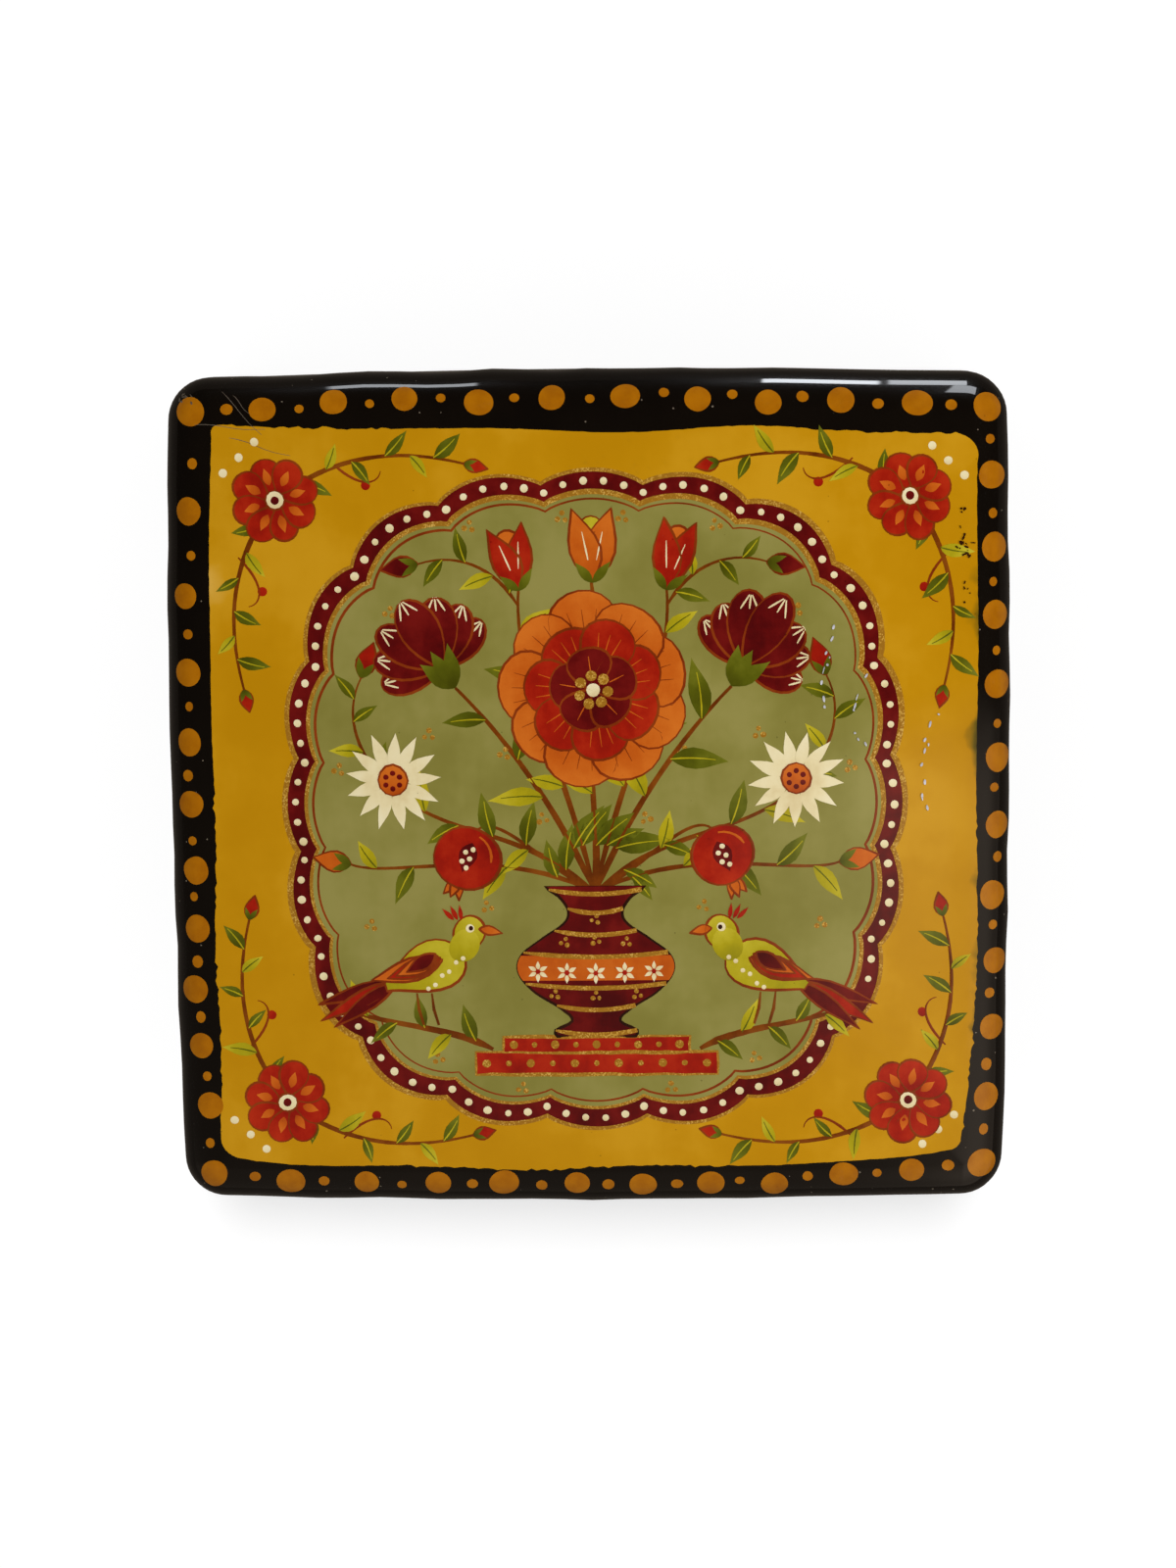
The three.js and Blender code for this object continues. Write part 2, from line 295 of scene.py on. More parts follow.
class NodeSheet:
    """Short-hand for adding and linking the nodes of one shader tree."""

    def __init__(self, tree: bpy.types.NodeTree) -> None:
        """Work on a tree from empty."""
        self.tree = tree
        tree.nodes.clear()

    def add(self, kind: str, inputs: dict | None = None, **settings: object) -> bpy.types.Node:
        """Add a node.

        Args:
            kind: The node's type, without its ShaderNode prefix.
            inputs: Values for its sockets, or sockets to link to them.
            settings: Values for its own properties.

        Returns:
            The node.
        """
        node = self.tree.nodes.new(kind if kind.startswith("NodeGroup") else "ShaderNode" + kind)
        for name, value in settings.items():
            setattr(node, name, value)
        for key, value in (inputs or {}).items():
            if isinstance(value, Socket):
                self.tree.links.new(value, node.inputs[key])
            else:
                node.inputs[key].default_value = value
        return node

    def place(self) -> Socket:
        """The place on the piece, in Object coordinates."""
        return self.add("TexCoord").outputs["Object"]

    def math(self, operation: str, *values: object) -> Socket:
        """Add a Math node and give its result."""
        return self.add("Math", dict(enumerate(values)), operation=operation).outputs[0]

    def between(self, value: Socket, low: float, high: float) -> Socket:
        """A smooth step of a value from 0 at low to 1 at high."""
        inputs = {"Value": value, "From Min": low, "From Max": high}
        return self.add("MapRange", inputs, interpolation_type="SMOOTHSTEP").outputs[0]

    def mix(self, share: object, first: object, second: object) -> Socket:
        """Mix two colours."""
        return self.add("Mix", {0: share, 6: first, 7: second}, data_type="RGBA").outputs[2]

    def noise(self, place: Socket, scale: object, detail: float, roughness: float = 0.5) -> Socket:
        """A noise pattern."""
        inputs = {"Vector": place, "Scale": scale, "Detail": detail, "Roughness": roughness}
        return self.add("TexNoise", inputs).outputs[0]

    def bump(self, height: Socket, strength: float, distance: float) -> Socket:
        """The normal of a surface that a height raises."""
        return self.add("Bump", {"Strength": strength, "Distance": distance, "Height": height}).outputs[0]

    def group(self, tree: bpy.types.NodeTree, **values: float) -> Socket:
        """Add a shader group with values for its inputs and give its output."""
        return self.add("Group", dict(values), node_tree=tree).outputs[0]

    def ramp(self, value: Socket, stops: Sequence[float], colours: Sequence[Colour]) -> Socket:
        """Run a value through a colour ramp.

        Args:
            value: The value.
            stops: Places along the ramp.
            colours: The colour at each of them.

        Returns:
            The colour.
        """
        node = self.add("ValToRGB", {0: value})
        elements = node.color_ramp.elements
        while len(elements) < len(stops):
            elements.new(0.5)
        for element, at, colour in zip(elements, stops, colours, strict=True):
            element.position = at
            element.color = colour
        return node.outputs[0]


class Effects:
    """Shader groups that more than one finish uses. Each is built once."""

    def __init__(self) -> None:
        """Build every group."""
        self.dust = self.lacquer_dust()
        self.mottle = self.brush_mottle()

    @staticmethod
    def begin(name: str, output: str, **inputs: float) -> tuple[NodeSheet, bpy.types.NodeOutputs]:
        """Start a group with value sockets.

        Args:
            name: The group's name.
            output: Its output's name.
            inputs: Its inputs' names and usual values.

        Returns:
            The group's sheet and the sockets of what it is given.
        """
        tree = bpy.data.node_groups.new(name, "ShaderNodeTree")
        for label, value in inputs.items():
            socket = tree.interface.new_socket(label, in_out="INPUT", socket_type="NodeSocketFloat")
            socket.default_value = value
        tree.interface.new_socket(output, in_out="OUTPUT", socket_type="NodeSocketFloat")
        sheet = NodeSheet(tree)
        return sheet, sheet.add("NodeGroupInput").outputs

    def lacquer_dust(self) -> bpy.types.NodeTree:
        """Build the specks of dust caught in the lacquer, few and of mixed sizes.

        Returns:
            The group.
        """
        sheet, given = self.begin("lacquer_dust", "Specks", Scale=1500.0, Share=0.35, Size=0.1)
        cells = sheet.add("TexVoronoi", {"Vector": sheet.place(), "Scale": given["Scale"]}).outputs
        chance = sheet.add("SeparateColor", {0: cells["Color"]}).outputs
        radius = sheet.math("MULTIPLY", given["Size"], sheet.math("ADD", chance[1], 0.25))
        inside = sheet.math("LESS_THAN", cells["Distance"], radius)
        picked = sheet.math("LESS_THAN", chance[0], given["Share"])
        sheet.add("NodeGroupOutput", {"Specks": sheet.math("MULTIPLY", inside, picked)})
        return sheet.tree

    def brush_mottle(self) -> bpy.types.NodeTree:
        """Build the uneven colour of paint laid by hand: soft clouds with a little drag along the brush.

        Returns:
            The group.
        """
        sheet, given = self.begin("brush_mottle", "Fac", Clouds=220.0, Drag=900.0, Streak=0.4)
        place = sheet.place()
        clouds = sheet.noise(place, given["Clouds"], 4.0, 0.6)
        turned = sheet.add("Mapping", {"Vector": place, "Rotation": (0, 0, 0.5), "Scale": (1.0, 0.16, 1.0)})
        drag = sheet.noise(turned.outputs[0], given["Drag"], 3.0)
        rest = sheet.math("MULTIPLY", clouds, sheet.math("SUBTRACT", 1.0, given["Streak"]))
        both = sheet.math("MULTIPLY_ADD", drag, given["Streak"], rest)
        sheet.add("NodeGroupOutput", {"Fac": sheet.between(both, 0.32, 0.68)})
        return sheet.tree


def new_material(name: str) -> tuple[Material, NodeSheet]:
    """Make a node material.

    Args:
        name: The material's name.

    Returns:
        The material and an empty sheet of its nodes.
    """
    material = bpy.data.materials.new(name)
    material.use_nodes = True
    return material, NodeSheet(material.node_tree)


def close_surface(sheet: NodeSheet, **inputs: object) -> None:
    """Add a material's shader and output. Underscores stand for the spaces in the sockets' names."""
    shader = sheet.add("BsdfPrincipled", {name.replace("_", " "): value for name, value in inputs.items()})
    sheet.add("OutputMaterial", {"Surface": shader.outputs[0]})


@dataclass(frozen=True)
class Lacquer:
    """Clear lacquer over a dark or a red ground, with dust in it and a slow hand-made waviness."""

    name: str
    ground: Colour
    dust: Colour
    roughness: float
    specular: float
    coat: float
    specks: float
    paler: float = 1.7
    dust_cover: float = 0.7
    dust_roughness: float = 0.25
    cloud_roughness: float = 0.04

    def material(self, effects: Effects) -> Material:
        """Make the material.

        Args:
            effects: The shader groups.

        Returns:
            The material.
        """
        material, sheet = new_material(self.name)
        fine = sheet.group(effects.dust, Scale=900.0, Share=self.specks, Size=0.085)
        coarse = sheet.group(effects.dust, Scale=260.0, Share=self.specks, Size=0.04)
        specks = sheet.math("MAXIMUM", fine, coarse)
        cloud = sheet.group(effects.mottle, Clouds=60.0, Drag=260.0, Streak=0.15)
        pale = (*(min(1.0, self.paler * c) for c in self.ground[:3]), 1.0)
        cover = sheet.math("MULTIPLY", specks, self.dust_cover)
        rough = sheet.math("MULTIPLY_ADD", cloud, self.cloud_roughness, self.roughness)
        waves = sheet.noise(sheet.place(), 110.0, 1.0)
        close_surface(
            sheet,
            Base_Color=sheet.mix(cover, sheet.mix(cloud, self.ground, pale), self.dust),
            Roughness=sheet.math("MULTIPLY_ADD", specks, self.dust_roughness, rough),
            Normal=sheet.bump(waves, 0.12, 0.0004),
            Specular_IOR_Level=self.specular,
            Coat_Weight=self.coat,
            Coat_Roughness=0.03,
        )
        return material


@dataclass(frozen=True)
class Paint:
    """Pigment under the lid's lacquer. It runs from a deep to a pale colour along each touch of the brush."""

    name: str
    deep: Colour
    colour: Colour
    pale: Colour
    along: float = 0.35
    clouds: float = 260.0
    streak: float = 0.25
    grains: float = 0.0
    metallic: float = 0.0
    wear_and_sheen_colours: tuple[Colour, ...] = ()
    stops: tuple[float, ...] = (0.08, 0.5, 0.95)
    wear_and_sheen_stops: tuple[float, ...] = (0.0, 0.12, 0.24, 0.5, 0.7, 1.0)
    speck_depth: float = 0.3
    speck_cover: float = 0.5

    def material(self, effects: Effects) -> Material:
        """Make the material.

        Args:
            effects: The shader groups.

        Returns:
            The material.
        """
        material, sheet = new_material(self.name)
        along = sheet.add("Attribute", attribute_name="along").outputs["Fac"]
        mottle = sheet.group(effects.mottle, Clouds=self.clouds, Drag=700.0, Streak=self.streak)
        rest = sheet.math("MULTIPLY", mottle, 1.0 - self.along)
        share = sheet.math("MULTIPLY_ADD", along, self.along, rest)
        stops, colours = self.stops, [self.deep, self.colour, self.pale]
        # The ground's edge ramp adds dark ends where its paint is thin and a pale end that is a painted
        # sheen.
        if self.wear_and_sheen_colours:
            stops, colours = self.wear_and_sheen_stops, [*self.wear_and_sheen_colours[:2], *colours, self.wear_and_sheen_colours[2]]
        colour = sheet.ramp(share, stops, colours)
        specks = sheet.group(effects.dust, Scale=1100.0, Share=0.08, Size=0.09)
        dark = (*(self.speck_depth * c for c in self.deep[:3]), 1.0)
        colour = sheet.mix(sheet.math("MULTIPLY", specks, self.speck_cover), colour, dark)
        roughness: object = 0.4
        if self.grains:
            flake = sheet.group(effects.dust, Scale=6500.0, Share=0.75, Size=0.6)
            colour = sheet.mix(sheet.math("MULTIPLY", flake, self.grains), self.deep, colour)
            roughness = sheet.math("MULTIPLY_ADD", flake, -0.12, 0.5)
        close_surface(
            sheet,
            Base_Color=colour,
            Roughness=roughness,
            Metallic=self.metallic,
            Specular_IOR_Level=0.06,
            Coat_Weight=1.0,
            Coat_Roughness=0.04,
        )
        return material


@dataclass(frozen=True)
class Velvet:
    """Short pile with a nap that the hand has stroked both ways."""

    name: str
    deep: Colour
    pale: Colour
    sheen: Colour
    pile_share: float = 0.62

    def material(self, effects: Effects) -> Material:
        """Make the material.

        Args:
            effects: The shader groups.

        Returns:
            The material.
        """
        material, sheet = new_material(self.name)
        pile = sheet.noise(sheet.place(), 5200.0, 2.0)
        nap = sheet.group(effects.mottle, Clouds=70.0, Drag=240.0, Streak=0.12)
        stroked = sheet.math("MULTIPLY", nap, 1.0 - self.pile_share)
        share = sheet.math("MULTIPLY_ADD", pile, self.pile_share, stroked)
        close_surface(
            sheet,
            Base_Color=sheet.ramp(share, (0.2, 0.8), (self.deep, self.pale)),
            Roughness=0.95,
            Normal=sheet.bump(pile, 0.6, 0.00025),
            Specular_IOR_Level=0.15,
            Sheen_Weight=0.35,
            Sheen_Roughness=0.35,
            Sheen_Tint=self.sheen,
        )
        return material


@dataclass(frozen=True)
class Brass:
    """Rolled brass, gone brown where fingers don't reach."""

    name: str
    bright: Colour
    tarnish: Colour

    def material(self, effects: Effects) -> Material:
        """Make the material.

        Args:
            effects: The shader groups.

        Returns:
            The material.
        """
        material, sheet = new_material(self.name)
        cloud = sheet.group(effects.mottle, Clouds=520.0, Drag=1600.0)
        lines = sheet.add("Mapping", {"Vector": sheet.place(), "Scale": (0.08, 1.0, 1.0)})
        drawn = sheet.noise(lines.outputs[0], 5200.0, 2.0)
        close_surface(
            sheet,
            Base_Color=sheet.mix(cloud, self.bright, self.tarnish),
            Metallic=1.0,
            Roughness=sheet.math("MULTIPLY_ADD", cloud, 0.25, 0.24),
            Normal=sheet.bump(drawn, 0.25, 0.00006),
        )
        return material


BLACK_LACQUER = Lacquer("black_lacquer", screen(7, 4, 2), screen(126, 114, 98), 0.3, 0.08, 1.0, 0.42)
RED_LACQUER = Lacquer("red_lacquer", screen(118, 20, 13), screen(160, 66, 44), 0.36, 0.3, 0.3, 0.12)
WINE_VELVET = Velvet("wine_velvet", screen(78, 8, 17), screen(130, 21, 35), (0.5, 0.08, 0.1, 1.0))
AGED_BRASS = Brass("aged_brass", screen(208, 170, 96), screen(136, 96, 44))
OCHRES = (screen(178, 124, 1), screen(185, 131, 6), screen(194, 141, 20))
# Ground edge colours: near-black and dark ochre where the paint runs thin, and a pale ochre that is a painted
# sheen.
WORN_AND_SHEEN_OCHRES = (screen(16, 13, 7), screen(96, 78, 9), screen(222, 182, 92))
SAGES = (screen(124, 117, 52), screen(132, 125, 60), screen(141, 133, 70))
GOLDS = (screen(158, 108, 28), screen(206, 156, 58), screen(226, 184, 92))


class Pigment(Enum):
    """The paints on the lid, each from its deep colour to its pale one."""

    BORDER = Paint("border_ochre", screen(152, 88, 1), screen(161, 96, 1), screen(169, 103, 3), 0.1, 420.0)
    GROUND = Paint("ochre_ground", *OCHRES, along=0.6, clouds=70.0, streak=0.08, wear_and_sheen_colours=WORN_AND_SHEEN_OCHRES)
    SAGE = Paint("sage_ground", *SAGES, along=0.0, clouds=70.0, streak=0.08)
    RED = Paint("madder_red", screen(124, 14, 6), screen(152, 24, 7), screen(172, 40, 14))
    WINE = Paint("wine_red", screen(66, 4, 6), screen(90, 8, 8), screen(112, 18, 14))
    ORANGE = Paint("lead_orange", screen(160, 62, 10), screen(186, 86, 17), screen(202, 106, 30), 0.6)
    CREAM = Paint("bone_cream", screen(204, 182, 132), screen(222, 206, 160), screen(230, 218, 180), 0.5)
    OLIVE = Paint("olive_leaf", screen(62, 62, 4), screen(84, 86, 10), screen(112, 112, 26), 0.6)
    LIME = Paint("lime_leaf", screen(140, 128, 12), screen(166, 150, 18), screen(188, 172, 44), 0.6)
    UMBER = Paint("umber_stem", screen(78, 30, 2), screen(112, 52, 4), screen(134, 72, 14))
    SIENNA = Paint("sienna_line", screen(102, 34, 4), screen(124, 46, 8), screen(140, 60, 16))
    GOLD = Paint("shell_gold", *GOLDS, along=0.1, clouds=900.0, streak=0.1, grains=0.75, metallic=0.15)
    SCUFF = Paint("rubbed_lacquer", screen(58, 50, 42), screen(86, 76, 64), screen(112, 102, 90))
    INK = Paint("dark_ink", screen(26, 8, 2), screen(40, 14, 4), screen(52, 20, 6))
    # Cracks in the lacquer, painted as bright glints.
    CRACK_GLINT = Paint("lacquer_crack_glint", screen(150, 148, 152), screen(188, 186, 192), screen(214, 212, 220))


@dataclass(frozen=True)
class Plan:
    """Square plan of the box with bowed sides and rounded corners. Insets run inwards from the lid's edge."""

    half: float = 45 * MM
    corner: float = 4.5 * MM
    least_corner: float = 0.5 * MM
    bow: float = 0.6 * MM
    side_steps: int = 24
    corner_steps: int = 10
    crown_power: float = 1.5

    def ring(self, inset: float, height: float) -> list[Vector]:
        """The plan's outline at a height, counter-clockwise.

        Args:
            inset: Distance inside the lid's outline.
            height: The ring's z.

        Returns:
            The ring's points.
        """
        half = self.half - inset
        radius = max(self.corner - inset, self.least_corner)
        run = half - self.bow - radius
        points = []
        for quarter in range(4):
            turn = Matrix.Rotation(quarter * QUARTER, 3, "Z")
            for i in range(self.side_steps):
                along = run * (2 * i / self.side_steps - 1)
                points.append(turn @ Vector((half - self.bow * (along / run) ** 2, along, 0)))
            for i in range(self.corner_steps):
                angle = i / self.corner_steps * QUARTER
                x, y = run + radius * math.cos(angle), run + radius * math.sin(angle)
                points.append(turn @ Vector((x, y, 0)))
        return [Vector((p.x, p.y, height)) for p in points]

    def crown(self, inset: float, height: float, share: float, rise: float) -> list[Vector]:
        """A ring drawn in towards the middle and lifted by a crown that dies out at its own sides.

        Args:
            inset: Inset of the ring that is drawn in.
            height: That ring's z.
            share: How much of that ring's reach is left, from 1 to 0.
            rise: The crown's height in the middle.

        Returns:
            The ring's points.
        """
        reach = self.half - inset

        def fall(along: float) -> float:
            """The crown's share of its height at a distance from the middle."""
            return max(0.0, 1 - (along / reach) ** 2) ** self.crown_power

        drawn = [Vector((p.x * share, p.y * share, height)) for p in self.ring(inset, height)]
        return [p + Vector((0, 0, rise * fall(p.x) * fall(p.y))) for p in drawn]

    def flat(self, inset: float, height: float, *shares: float) -> list[list[Vector]]:
        """Rings of a level face, drawn in to shares of its reach."""
        return [self.crown(inset, height, share, 0.0) for share in shares]

    def dome(self, inset: float, height: float, rise: float, steps: int) -> list[list[Vector]]:
        """Rings of a crowned face from near its edge to its middle."""
        return [self.crown(inset, height, 1 - i / steps, rise) for i in range(1, steps + 1)]

    def edge(
        self, inset: float, height: float, radius: float, steps: int, outer: bool, upper: bool
    ) -> list[list[Vector]]:
        """Rings round a quarter edge.

        Args:
            inset: Inset of the upright face.
            height: The level face's z.
            radius: The rounding's radius.
            steps: Steps round the edge.
            outer: True where the face looks outwards.
            upper: True where the level face looks up.

        Returns:
            Rings from the upright face to the level one.
        """
        across = radius if outer else -radius
        rise = radius if upper else -radius
        angles = [i / steps * QUARTER for i in range(steps + 1)]
        ways = [(across * (1 - math.cos(angle)), rise * (1 - math.sin(angle))) for angle in angles]
        return [self.ring(inset + inward, height - down) for inward, down in ways]


@dataclass(frozen=True)
class HingeLine:
    """Where the lid turns, and what both back rims give up to the hinges."""

    y: float = 42.9 * MM
    z: float = 30.15 * MM
    spacing: float = 48 * MM
    sides: int = 40
    knuckle_radius: float = 1.5 * MM
    knuckle_length: float = 4.4 * MM
    knuckle_gap: float = 0.2 * MM
    clearance: float = 0.3 * MM
    leaf_thickness: float = 0.7 * MM
    leaf_reach: float = 6 * MM
    slot_clearance: float = 0.15 * MM
    seam: float = 0.2 * MM
    bevel: float = math.radians(52)
    bevel_reach: float = 4 * MM
    bevel_width: float = 96 * MM

    @property
    def length(self) -> float:
        """One hinge's length along its pin."""
        return 3 * self.knuckle_length + 2 * self.knuckle_gap

    def middles(self) -> list[tuple[str, float]]:
        """Each hinge's side and its middle's x."""
        return [("left", -self.spacing / 2), ("right", self.spacing / 2)]

    def cut(self, piece: Piece, way: int) -> None:
        """Cut the knuckle seats, the leaf slots and the back bevel.

        Args:
            piece: The lid or the walls.
            way: 1 for the rim above the seam and -1 for the one below.
        """
        cut_away(piece, self.bevel_tool(way))
        radius = self.knuckle_radius + self.clearance
        high = self.leaf_reach + self.slot_clearance
        wide = self.length + 2 * self.slot_clearance
        thick = self.leaf_thickness + 2 * self.slot_clearance
        for _, x in self.middles():
            length = self.length + 2 * self.clearance
            cut_away(piece, cylinder("seat", (x, self.y, self.z), radius, length, self.sides))
            cut_away(piece, block("slot", (x, self.y, self.z + way * high / 2), (wide, thick, high)))

    def bevel_tool(self, way: int) -> Piece:
        """Make the wedge that comes off a back rim outside the hinge line.

        Args:
            way: 1 for the rim above the seam and -1 for the one below.

        Returns:
            The wedge.
        """
        middle = self.y + self.bevel_reach / 2
        tool = block("wedge", (0, middle, self.z), (self.bevel_width, self.bevel_reach, self.seam))
        with editing(tool, "VERT"):
            pick(tool, "verts", lambda vert: vert.co.y > middle and (vert.co.z - self.z) * way > 0)
            bpy.ops.transform.translate(value=(0, 0, way * self.bevel_reach * math.tan(self.bevel)))
        return tool


def dress(piece: Piece, materials: Sequence[Material], body: str, slot: str, *nodes: str) -> Piece:
    """Give a piece its materials and its body, and hide the solids that it stands for.

    Args:
        piece: The finished piece.
        materials: Its materials, in the order of its faces' numbers.
        body: The body that it moves with.
        slot: The record's material slot. It is not used.
        nodes: The solids that it replaces.

    Returns:
        The piece.
    """
    piece.data.materials.clear()
    for material in materials:
        piece.data.materials.append(material)
    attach(piece, body)
    if nodes:
        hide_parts(*nodes)
    LOG.info("%s: %d faces on %s", piece.name, len(piece.data.polygons), body)
    return piece


@dataclass
class Lid:
    """The moulded lid: an upright rim, a rounded shoulder, a low crown and a flat-roofed hollow."""

    plan: Plan
    hinge: HingeLine
    bottom: float = 30.25 * MM
    rim: float = 6 * MM
    rim_rings: Pair = (0.35, 0.7)
    shoulder: float = 4 * MM
    shoulder_steps: int = 14
    crown: float = 1.2 * MM
    crown_steps: int = 16
    hollow_inset: float = 3.35 * MM
    hollow_depth: float = 7 * MM
    lip: float = 0.3 * MM
    lip_steps: int = 4
    lining: float = 1 * MM
    lining_gap: float = 0.3 * MM
    lining_glue: float = 0.05 * MM
    lining_back: float = 0.2 * MM
    lining_roll: float = 0.4 * MM
    waver: float = 0.07 * MM
    waver_seed: int = 23
    waves: int = 10
    wave_counts: tuple[int, int] = (5, 34)
    side_power: int = 12
    right_flat: float = 0.28 * MM
    shell: Piece | None = field(default=None, init=False)

    def build(self) -> None:
        """Build the shell and cut it for the hinges."""
        plan = self.plan
        top = self.bottom + self.rim + self.shoulder
        rings = plan.flat(self.hollow_inset, self.bottom + self.hollow_depth, 0.0, 0.5, 1.0)
        rings += plan.edge(self.hollow_inset, self.bottom, self.lip, self.lip_steps, outer=False, upper=False)
        rings += reversed(plan.edge(0.0, self.bottom, self.lip, self.lip_steps, outer=True, upper=False))
        rings += [plan.ring(0.0, self.bottom + self.rim * share) for share in self.rim_rings]
        rings += plan.edge(0.0, top, self.shoulder, self.shoulder_steps, outer=True, upper=True)
        rings += plan.dome(self.shoulder, top, self.crown, self.crown_steps)
        self.shell = loft("lacquered_lid", rings)
        self.waver_edge()
        self.hinge.cut(self.shell, 1)
        shade(self.shell)

    def waver_edge(self) -> None:
        """Let the outline stray as a hand-made lid's does, with a flatter side on the right."""
        hand = random.Random(self.waver_seed)
        waves = [(hand.randint(*self.wave_counts), hand.uniform(0, math.tau)) for _ in range(self.waves)]
        size = self.waver * math.sqrt(2 / len(waves))
        inside = 1 - self.shoulder / self.plan.half
        for vert in self.shell.data.vertices:
            x, y = vert.co.x / self.plan.half, vert.co.y / self.plan.half
            share = min(1.0, max(0.0, (max(abs(x), abs(y)) - inside) / (1 - inside)))
            if share > 0:
                sides = [math.copysign(abs(way) ** self.side_power, way) for way in (x, y)]
                outward = Vector((*sides, 0)).normalized()
                around = math.atan2(y, x)
                push = size * sum(math.sin(often * around + phase) for often, phase in waves)
                push += self.right_flat * y * y * max(0.0, outward.x)
                vert.co += outward * push * share

    def build_lining(self) -> Piece:
        """Build the velvet-covered card under the roof.

        Returns:
            The lining.
        """
        plan = self.plan
        inset = self.hollow_inset + self.lining_gap
        top = self.bottom + self.hollow_depth - self.lining_glue
        low = top - self.lining
        rings = plan.flat(inset, top, 0.0, 0.5)
        rings += reversed(plan.edge(inset, top, self.lining_back, 3, outer=True, upper=True))
        rings += plan.edge(inset, low, self.lining_roll, 5, outer=True, upper=False)
        rings += plan.dome(inset + self.lining_roll, low, 0.0, 10)
        return shade(loft("velvet_lid_lining", rings), 50)

    def bed(self, x: float, y: float, height: float) -> Vector:
        """Take a place in plan and a height over the lid to its place on the lid's outside."""
        found, place, normal, _ = self.shell.ray_cast(Vector((x, y, 1.0)), Vector((0, 0, -1)))
        return place + normal * height if found else Vector((x, y, self.bottom + self.rim))


@dataclass
class Tray:
    """The box below the lid: base, walls, collar and velvet pad."""

    plan: Plan
    hinge: HingeLine
    inset: float = 0.5 * MM
    wall: float = 3.2 * MM
    base: float = 4 * MM
    base_edge: float = 1.5 * MM
    base_break: float = 0.12 * MM
    step: float = 1 * MM
    glue: float = 0.05 * MM
    seam: float = 30.05 * MM
    rim_edge: float = 0.4 * MM
    rim_break: float = 0.25 * MM
    collar: float = 1.2 * MM
    collar_edge: float = 0.35 * MM
    collar_rise: float = 2.5 * MM
    collar_seat: float = 9 * MM
    collar_end: float = 34.65 * MM
    pad: float = 1.8 * MM
    pad_edge: float = 0.9 * MM
    pad_crown: float = 0.8 * MM
    pad_seed: int = 3
    dimples: int = 16
    dimple_field: float = 34
    dimple_reach: Pair = (4, 9)
    dimple_depth: float = 0.09 * MM
    dimple_ease: float = 0.3 * MM
    gap: float = 0.3 * MM

    def build_walls(self) -> Piece:
        """Build the wound walls and cut them for the hinges.

        Returns:
            The walls.
        """
        plan = self.plan
        inner = self.inset + self.wall
        bottom = self.base + self.glue
        rings = [plan.ring(self.inset, bottom), plan.ring(self.inset, (bottom + self.seam) / 2)]
        rings += plan.edge(self.inset, self.seam, self.rim_edge, 5, outer=True, upper=True)
        rings += reversed(plan.edge(inner, self.seam, self.rim_break, 4, outer=False, upper=True))
        rings += [plan.ring(inner, bottom), plan.ring(self.inset, bottom)]
        walls = loft("lacquered_walls", rings)
        self.hinge.cut(walls, -1)
        return shade(walls)

    def redden(self, walls: Piece) -> None:
        """Give the walls' inside its second material.

        Args:
            walls: The dressed walls.
        """
        reach = self.plan.half - self.inset - self.wall + self.gap
        for face in walls.data.polygons:
            x, y, _ = face.center
            if face.normal.x * x + face.normal.y * y < 0 and max(abs(x), abs(y)) < reach:
                face.material_index = 1

    def build_base(self) -> Piece:
        """Build the pressed base with its rounded lower edge and locating step.

        Returns:
            The base.
        """
        plan = self.plan
        step_inset = self.inset + self.wall + self.gap
        top = self.base + self.step
        rings = plan.flat(self.inset + self.base_edge, 0.0, 0.0, 0.5)
        rings += reversed(plan.edge(self.inset, 0.0, self.base_edge, 6, outer=True, upper=False))
        rings += plan.edge(self.inset, self.base, self.base_break, 2, outer=True, upper=True)
        rings += [plan.ring(step_inset, self.base), plan.ring(step_inset, top)]
        rings += plan.flat(step_inset, top, 0.5, 0.0)
        return shade(loft("lacquered_base", rings))

    def build_collar(self) -> Piece:
        """Build the bent card that the lid closes over, open at the back.

        Returns:
            The collar.
        """
        plan = self.plan
        inset = self.inset + self.wall + self.glue
        inner = inset + self.collar
        top = self.seam + self.collar_rise
        low = self.seam - self.collar_seat
        rings = [plan.ring(inset, low)]
        rings += plan.edge(inset, top, self.collar_edge, 5, outer=True, upper=True)
        rings += reversed(plan.edge(inner, top, self.collar_edge, 5, outer=False, upper=True))
        rings += [plan.ring(inner, low), plan.ring(inset, low)]
        collar = loft("collar_strip", rings)
        with editing(collar, "FACE"):
            bpy.ops.mesh.select_all(action="SELECT")
            cut = {"plane_co": (0, self.collar_end, 0), "plane_no": (0, 1, 0)}
            bpy.ops.mesh.bisect(**cut, use_fill=True, clear_outer=True)
        return shade(collar)

    def build_pad(self) -> Piece:
        """Build the velvet pad: a low crown that is drawn down at its edge and a little uneven.

        Returns:
            The pad.
        """
        plan = self.plan
        inset = self.inset + self.wall + self.gap
        low = self.base + self.step + self.glue
        top = low + self.pad
        rings = plan.flat(inset, low, 0.0, 0.5, 1.0)
        rings += plan.edge(inset, top, self.pad_edge, 6, outer=True, upper=True)
        rings += plan.dome(inset + self.pad_edge, top, self.pad_crown, 20)
        pad = loft("velvet_pad", rings)
        hand = random.Random(self.pad_seed)
        dimples = []
        for _ in range(self.dimples):
            place = Vector([hand.uniform(-self.dimple_field, self.dimple_field) for _ in range(2)]) * MM
            dimples.append((place, hand.uniform(*self.dimple_reach) * MM))
        for vert in pad.data.vertices:
            if vert.co.z > top:
                ways = [(vert.co.xy - place).length / reach for place, reach in dimples]
                sunk = self.dimple_depth * sum(math.exp(-(way**2)) for way in ways)
                vert.co.z -= sunk * min(1.0, (vert.co.z - top) / self.dimple_ease)
        return shade(pad, 60)


